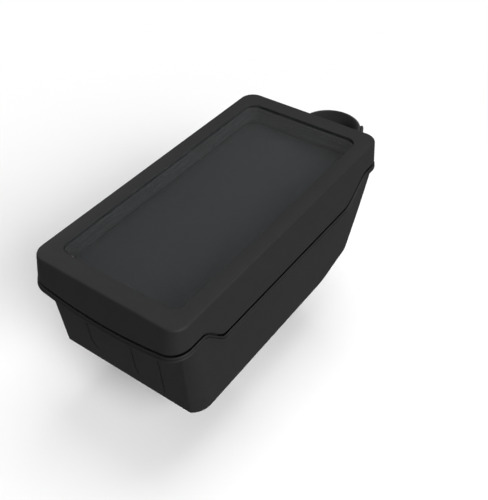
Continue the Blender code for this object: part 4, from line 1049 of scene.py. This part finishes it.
# %% Keepers under the base
RAMP_START, RAMP_LENGTH = 0.0152, 0.0022
BOX_HALF, BOX_NEAR, BOX_FAR, BOX_PITCH = 0.0075, 0.0010, 0.0045, 0.0028
for name in ("rear", "front"):
    low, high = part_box("strap_keeper_" + name)
    middle, half = (low.y + high.y) / 2, (high.y - low.y) / 2
    flush = BASE_BOTTOM - CLEARANCE - KEEPER_THICK / 2
    under = flush - LAYER
    levels = np.linspace(-half, half, 61)
    rise = ease((RAMP_START - np.abs(levels)) / RAMP_LENGTH)
    path = np.column_stack([middle + levels, flush + (under - flush) * rise])
    keeper = strip("keeper_tape_" + name, path, KEEPER_THICK, "x", low.x, high.x, binding)
    dress(keeper, "base", "fabric", "strap_keeper_" + name)
    runs = []
    for end in (-1, 1):
        near, far = middle + end * (half - BOX_NEAR), middle + end * (half - BOX_FAR)
        height = flush - KEEPER_THICK / 2 - 0.00005
        box_line = [(-BOX_HALF, near), (BOX_HALF, near), (BOX_HALF, far), (-BOX_HALF, far), (-BOX_HALF, near)]
        runs.append(spaced([(x, y, height) for x, y in box_line], BOX_PITCH))
    centres, ways = [np.concatenate(part) for part in zip(*runs)]
    dress(stitches("keeper_seam_" + name, centres, ways, np.broadcast_to([0.0, 0.0, -1.0], centres.shape)),
          "base", "fabric")

# %% [markdown]
# ## The front strap
# In front a third strap makes an upright loop. It runs flat across the nose pad, under its own
# keeper, and closes on the right side, where its end shows above the lid from behind.

# %% Front strap
low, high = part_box("steerer_strap")
rear, radius, corner = PAD_FACE + CLEARANCE + STRAP_THICK / 2, 0.0190, 0.0060
outer = corner + LAYER
centre_y = PAD_FACE + 0.0244
path = np.vstack([[(radius, rear + outer + 0.0015)], arc((0.0, centre_y), radius, 0, 180, 60),
                  arc((-radius + corner, rear + corner), corner, 180, 270, 14),
                  arc((radius + LAYER - outer, rear + outer), outer, 270, 360, 16),
                  arc((0.0, centre_y), radius + LAYER, 0, 45, 16)])
front_strap = strip("steerer_webbing", dense(path), STRAP_THICK, "z", low.z, high.z, webbing, tip=True)
dress(front_strap, "base", "fabric", "steerer_strap")

# %% Keeper of the front strap
flush = PAD_FACE + CLEARANCE + KEEPER_THICK / 2
over = flush + LAYER
ramp_low, ramp_high = low.z - 0.0027, high.z + 0.0024
heights = np.linspace(KEEPER_LOW.z, KEEPER_HIGH.z, 61)
rise = ease((heights - ramp_low) / 0.0022) * ease((ramp_high - heights) / 0.0019)
path = np.column_stack([flush + (over - flush) * rise, heights])
keeper = strip("steerer_keeper_tape", path, KEEPER_THICK, "x", KEEPER_LOW.x, KEEPER_HIGH.x, binding)
dress(keeper, "base", "fabric", "steerer_keeper")

# %% [markdown]
# ## The rubber seat
# Between the straps a soft pad of moulded rubber keeps the bag from sliding. It is dull, with a fine
# grain of 0.7 mm, and has grooves across its underside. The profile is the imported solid's own, with
# its corners rounded by half a millimetre, and it is drawn in at both ends.

# %% Rubber and rounded corners
rubber, tree, output = new_material("black_rubber")
place = add_node(tree, "ShaderNodeTexCoord")
grain = add_node(tree, "ShaderNodeTexNoise", {"Vector": (place, "Object"), "Scale": 1500.0, "Detail": 2.0})
bump = add_node(tree, "ShaderNodeBump", {"Height": (grain, "Fac"), "Strength": 0.3, "Distance": 0.0001})
shader = add_node(tree, "ShaderNodeBsdfPrincipled", {
    "Base Color": linear("#1c1c1d"), "Roughness": 0.62, "IOR": 1.52, "Normal": (bump, 0)})
tree.links.new(shader.outputs[0], output.inputs[0])


def eased_corners(corners, radius):
    """Each corner becomes a quadratic curve that starts and ends radius away from it."""
    corners = np.asarray(corners, float)
    before, after = np.roll(corners, 1, axis=0), np.roll(corners, -1, axis=0)
    back_way, on_way = before - corners, after - corners
    back_length = np.linalg.norm(back_way, axis=1)[:, None]
    on_length = np.linalg.norm(on_way, axis=1)[:, None]
    start = corners + back_way / back_length * np.minimum(radius, back_length * 0.45)
    end = corners + on_way / on_length * np.minimum(radius, on_length * 0.45)
    t = np.linspace(0, 1, 5)[None, :, None]
    curve = (1 - t) ** 2 * start[:, None] + 2 * t * (1 - t) * corners[:, None] + t ** 2 * end[:, None]
    return curve.reshape(-1, 2)


# %% Rubber seat
GROOVES, GROOVE_HALF, GROOVE_DEPTH = (-0.0180, -0.0060, 0.0060), 0.0011, 0.0012
SEAT_ROUND, SEAT_END_ROUND = 0.0005, 0.0006
low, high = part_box("tube_seat_pad")
corners = [(high.y, low.z), (high.y, high.z), (low.y, high.z), (low.y, low.z)]
for groove in GROOVES:
    if low.y + 3 * GROOVE_HALF < groove < high.y - 3 * GROOVE_HALF:
        start, end, bottom = groove - GROOVE_HALF, groove + GROOVE_HALF, low.z + GROOVE_DEPTH
        corners += [(start, low.z), (start, bottom), (end, bottom), (end, low.z)]
profile = eased_corners(corners, SEAT_ROUND)
seat = across_bag("rubber_seat", profile, high.x, SEAT_END_ROUND, rubber, 40)
dress(seat, "base", "rubber", "tube_seat_pad")

# %% [markdown]
# ## The fabric hinge
# The lid is joined to the base in front by a strip of strong fabric inside the seam. It has to bend
# between the two shells, so it is one sheet across the seam that follows the base below and the lid
# above, and the points between turn gradually. Its path goes up the sloping nose and on up the
# lid's front wall.

# %% Hinge cloth
HINGE_THICK = 0.0007
upper_low, upper_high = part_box("hinge_tape_upper")
lower_low, lower_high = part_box("hinge_tape_lower")


def hinge_path():
    """Points from the foot of the nose strip to the top of the lid's strip, eased across the seam."""
    z = np.linspace(lower_low.z, upper_high.z, 48)
    stretch = math.hypot(1.0, NOSE_SLOPE / (LID_TOP - BASE_TOP_DEPTH - BASE_BOTTOM))
    below = nose(z, WALL + (CLEARANCE + 0.0004) * stretch)
    above = np.full_like(z, (upper_low.y + upper_high.y) / 2)
    start, end = lower_high.z - 0.001, upper_low.z + 0.002
    share = ease((z - start) / (end - start))
    return np.column_stack([below * (1 - share) + above * share, z])


hinge = strip("hinge_cloth", hinge_path(), HINGE_THICK, "x", upper_low.x, upper_high.x, binding)
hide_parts("hinge_tape_upper", "hinge_tape_lower")
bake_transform(hinge)
print("hinge cloth from", round(lower_low.z, 4), "to", round(upper_high.z, 4))

# %% [markdown]
# ## The concealed zip
# Behind the seam runs a coil zip. Each half is a woven tape and a nylon coil sewn along its edge: a
# spiral with a turn every 1.1 mm, flattened against the tape. The tapes are sections carried along
# the zip's stations, and the coil is a round thread whose middle line is a flattened spiral round
# the same path. Drawn nylon is smooth, so each turn catches a narrow highlight.

# %% Zip tapes
ZIP_HALF_WIDTH, ZIP_REAR, ZIP_FRONT, ZIP_CORNER = 0.0434, 0.0902, 0.0925, 0.006
TAPE_HALF, TAPE_WIDTH, ZIP_HALF_GAP = 0.00025, 0.0085, 0.0005
on_zip = np.concatenate([
    np.flatnonzero((KIND == LEFT_SIDE) & (PLACE <= ZIP_END + 1e-9)),
    np.flatnonzero(np.isin(KIND, [REAR_ARC, REAR, RIGHT_REAR_ARC])),
    np.flatnonzero((KIND == SIDE) & (PLACE <= ZIP_END + 1e-9))])


def zip_outline(inset=0.0):
    """Path of the zip, moved inwards by inset."""
    return outline(ZIP_HALF_WIDTH - inset, ZIP_REAR - inset, ZIP_FRONT - inset,
                   ZIP_CORNER - inset, ZIP_CORNER - inset)


def tape(name, levels):
    """Strip through (outer outline, inner outline, depth) levels along the zip; UV in metres."""
    outside = [ring(outer, LID_TOP - depth)[on_zip] for outer, inner, depth in levels]
    inside = [ring(inner, LID_TOP - depth)[on_zip] for outer, inner, depth in levels]
    grid = np.array(outside + inside[::-1]).transpose(1, 0, 2)
    lengths = np.concatenate([[0], np.cumsum(np.linalg.norm(np.diff(grid[:, 0, :2], axis=0), axis=1))])
    uv = np.stack([np.broadcast_to(lengths[:, None], grid.shape[:2]), grid[..., 2]], axis=2)
    return surface(name, grid, zip_cloth, caps=True, uv=uv, angle=40)


faces = (zip_outline(-TAPE_HALF), zip_outline(TAPE_HALF))
start, shoulder = SEAM - ZIP_HALF_GAP, SEAM - HALF_GAP - REBATE_HEIGHT
levels = [(*faces, depth) for depth in (start, (start + shoulder) / 2, shoulder)]
for depth in (shoulder - 0.0010, shoulder - 0.0025, start - TAPE_WIDTH):
    levels.append((lid_outline(depth, WALL + CLEARANCE),
                   lid_outline(depth, WALL + CLEARANCE + 2 * TAPE_HALF), depth))
dress(tape("zip_tape_above", levels), "lid", "fabric", "zip_tape_upper")

start = SEAM + ZIP_HALF_GAP
short, full = SEAM + HALF_GAP + LEDGE_DROP - CLEARANCE, start + TAPE_WIDTH
share = ease((REAR_STEP[0] + 0.0050 - top_edge[:, 1]) / 0.0080)
foot = full + (short - full) * share
levels = [(*faces, start + (foot - start) * part) for part in (0.0, 0.5, 1.0)]
dress(tape("zip_tape_below", levels), "base", "fabric", "zip_tape_lower")

# %% Zip coil
COIL_PITCH, COIL_ACROSS, COIL_UP, COIL_THREAD = 0.0011, 0.00045, 0.0006, 0.00024
COIL_HALF_THICK, COIL_HALF_HEIGHT = 0.0007, 0.00085
nylon, tree, output = new_material("nylon_coil")
shader = add_node(tree, "ShaderNodeBsdfPrincipled", {
    "Base Color": linear("#151516"), "Roughness": 0.38, "IOR": 1.53})
tree.links.new(shader.outputs[0], output.inputs[0])


def coil(name, side):
    """Spiral thread: path + a cos(t) across + b sin(t) up, one turn per pitch, as rings of six points."""
    path = np.column_stack([zip_outline(2 * CLEARANCE + COIL_HALF_THICK)[on_zip],
                            (LID_TOP - SEAM + side * (ZIP_HALF_GAP + COIL_HALF_HEIGHT))[on_zip]])
    lengths = np.concatenate([[0], np.cumsum(np.linalg.norm(np.diff(path, axis=0), axis=1))])
    turns_wanted = int(lengths[-1] / COIL_PITCH)
    at = np.linspace(0, lengths[-1], turns_wanted * 10 + 1)
    centre = np.stack([np.interp(at, lengths, path[:, k]) for k in range(3)], axis=1)
    way = np.gradient(centre, axis=0)
    way /= np.linalg.norm(way, axis=1)[:, None]
    across = np.cross(way, [0.0, 0.0, 1.0])
    across /= np.linalg.norm(across, axis=1)[:, None]
    upward = np.cross(across, way)
    angle = np.arange(len(at)) * 2 * math.pi / 10
    line = centre + across * (COIL_ACROSS * np.cos(angle))[:, None]
    line += upward * (COIL_UP * np.sin(angle))[:, None]
    ahead = np.gradient(line, axis=0)
    ahead /= np.linalg.norm(ahead, axis=1)[:, None]
    out = line - centre
    out -= ahead * np.sum(out * ahead, axis=1)[:, None]
    out /= np.linalg.norm(out, axis=1)[:, None]
    third = np.cross(ahead, out)
    around = np.arange(6) * math.pi / 3
    grid = (line[:, None] + COIL_THREAD * (out[:, None] * np.cos(around)[None, :, None]
                                           + third[:, None] * np.sin(around)[None, :, None]))
    return surface(name, grid, nylon, caps=True, angle=80)


dress(coil("coil_above", 1), "lid", "coil", "zip_coil_upper")
dress(coil("coil_below", -1), "base", "coil", "zip_coil_lower")

# %% [markdown]
# ## Stops, slider and puller
# The stops are small zinc clamps at the coil's front ends. The slider is die-cast zinc in black
# lacquer: a plate each side of the coil, a neck through the seam and a bail. On it swings a rubber
# puller with grip ribs. All of them are rounded blocks, a round pin and a ring, whose places are
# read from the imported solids. The lacquer makes the zinc a dark metal with a broad highlight.

# %% Zip stops
zinc, tree, output = new_material("black_lacquered_zinc")
shader = add_node(tree, "ShaderNodeBsdfPrincipled", {
    "Base Color": linear("#2b2b2d"), "Metallic": 1.0, "Roughness": 0.34})
tree.links.new(shader.outputs[0], output.inputs[0])

for name in ("zip_stop_left", "zip_stop_right"):
    low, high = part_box(name)
    dress(block(name + "_clamp", low, high, 0.0004, zinc, thin="x"), "base", "metal", name)

# %% A round bar, and several shells in one object


def rod(name, x, z, radius, start, end, material):
    """Round bar along y with eased ends: rings of points whose radius drops along a quarter circle."""
    turns = np.arange(20) * 2 * math.pi / 20
    places, inset = rounded_ends((end - start) / 2, min(radius * 0.3, 0.0003))
    y, r = (start + end) / 2 + places, radius - inset
    grid = np.stack([x + r[:, None] * np.cos(turns), np.broadcast_to(y[:, None], (len(y), len(turns))),
                     z + r[:, None] * np.sin(turns)], axis=2)
    return surface(name, grid, material, caps=True, angle=60)


def joined(name, pieces):
    """One object from several closed shells: their meshes are put into the first one."""
    builder = bmesh.new()
    for piece in pieces:
        builder.from_mesh(piece.data)
    first = pieces[0]
    builder.to_mesh(first.data)
    builder.free()
    for piece in pieces[1:]:
        bpy.data.objects.remove(piece)
    first.name = name
    return first


# %% Slider
low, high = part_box("zip_slider")
PLATE_THICK, PLATE_HALF, PIN_RADIUS, EYE_RADIUS = 0.0011, 0.003, 0.0007, 0.0019
SLIDER_GAP, CHEEK_HALF, SINK = 0.0005, 0.0011, 0.0005
BAIL = LID_HALF_WIDTH + FLARE_SIDE * (SEAM_SIDE + LIP_HEIGHT) + 0.0004 + 0.0034
MIDDLE = LID_TOP - SEAM_SIDE
outer = ZIP_HALF_WIDTH + TAPE_HALF + SLIDER_GAP
inner = ZIP_HALF_WIDTH - TAPE_HALF - CLEARANCE - 2 * COIL_HALF_THICK - SLIDER_GAP
stem = BAIL - EYE_RADIUS - SLIDER_GAP
centre = (low.y + high.y) / 2
parts = [block("plate", (left, low.y, MIDDLE - PLATE_HALF), (left + PLATE_THICK, high.y, MIDDLE + PLATE_HALF),
               0.0005, zinc, thin="x") for left in (-outer - PLATE_THICK, -inner)]
parts += [block("neck", (-stem, low.y, MIDDLE - 0.00025), (-inner + SINK, high.y, MIDDLE + 0.00025),
                0.0001, zinc, thin="z"),
          rod("pin", -BAIL, MIDDLE, PIN_RADIUS, centre - 0.0036, centre + 0.0036, zinc)]
for side in (-1, 1):
    near, far = sorted((centre + side * 0.0031, centre + side * 0.0040))
    parts.append(block("cheek", (-BAIL - CHEEK_HALF, near, MIDDLE - CHEEK_HALF),
                       (-stem + SINK, far, MIDDLE + CHEEK_HALF), 0.0004, zinc, thin="y"))
dress(joined("slider_body", parts), "slider", "metal", "zip_slider")

# %% Puller


def eye(name, x, z, inner, outer, start, end, material):
    """Ring round a bar along y: a rounded rectangle turned about the bar's line."""
    section = rounded_outline((outer - inner) / 2, (end - start) / 2, 0.0003,
                              ((outer + inner) / 2, (start + end) / 2), steps=4)
    turns = np.arange(28) * 2 * math.pi / 28
    grid = np.stack([x + section[None, :, 0] * np.cos(turns)[:, None],
                     np.broadcast_to(section[None, :, 1], (len(turns), len(section))),
                     z + section[None, :, 0] * np.sin(turns)[:, None]], axis=2)
    return surface(name, grid, material, rows_closed=True, angle=60)


low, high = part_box("zip_puller")
NECK_HALF, GRIP_HALF, TAB_HALF_THICK = 0.0020, 0.0035, 0.0007
RIBS, RIB_PITCH, RIB_HALF_WIDTH, RIB_HALF_THICK, RIB_HALF = 6, 0.0020, 0.0027, 0.0008, 0.0004
outline_half = np.array([(NECK_HALF, MIDDLE - 0.0016), (NECK_HALF, MIDDLE - 0.0030),
                         (GRIP_HALF, MIDDLE - 0.0045), (GRIP_HALF, low.z + 0.001), (0.0025, low.z)])
corners = np.vstack([outline_half + (centre, 0), (outline_half * (-1, 1))[::-1] + (centre, 0)])
flat = eased_corners(corners, 0.0006)
tab = slab("puller_tab", flat, -BAIL - TAB_HALF_THICK, -BAIL + TAB_HALF_THICK, 0.0005, rubber,
           place=lambda grid: grid[..., [2, 0, 1]])
parts = [tab, eye("puller_eye", -BAIL, MIDDLE, 0.0010, EYE_RADIUS, centre - NECK_HALF,
                  centre + NECK_HALF, rubber)]
for level in low.z + 0.0035 + RIB_PITCH * np.arange(RIBS):
    parts.append(block("grip_rib", (-BAIL - RIB_HALF_THICK, centre - RIB_HALF_WIDTH, level - RIB_HALF),
                       (-BAIL + RIB_HALF_THICK, centre + RIB_HALF_WIDTH, level + RIB_HALF),
                       RIB_HALF, rubber, thin="x"))
dress(joined("puller_grip", parts), "puller", "rubber", "zip_puller")

# %% Finish
low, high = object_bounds()
print("scene size", [round(v, 4) for v in high - low])
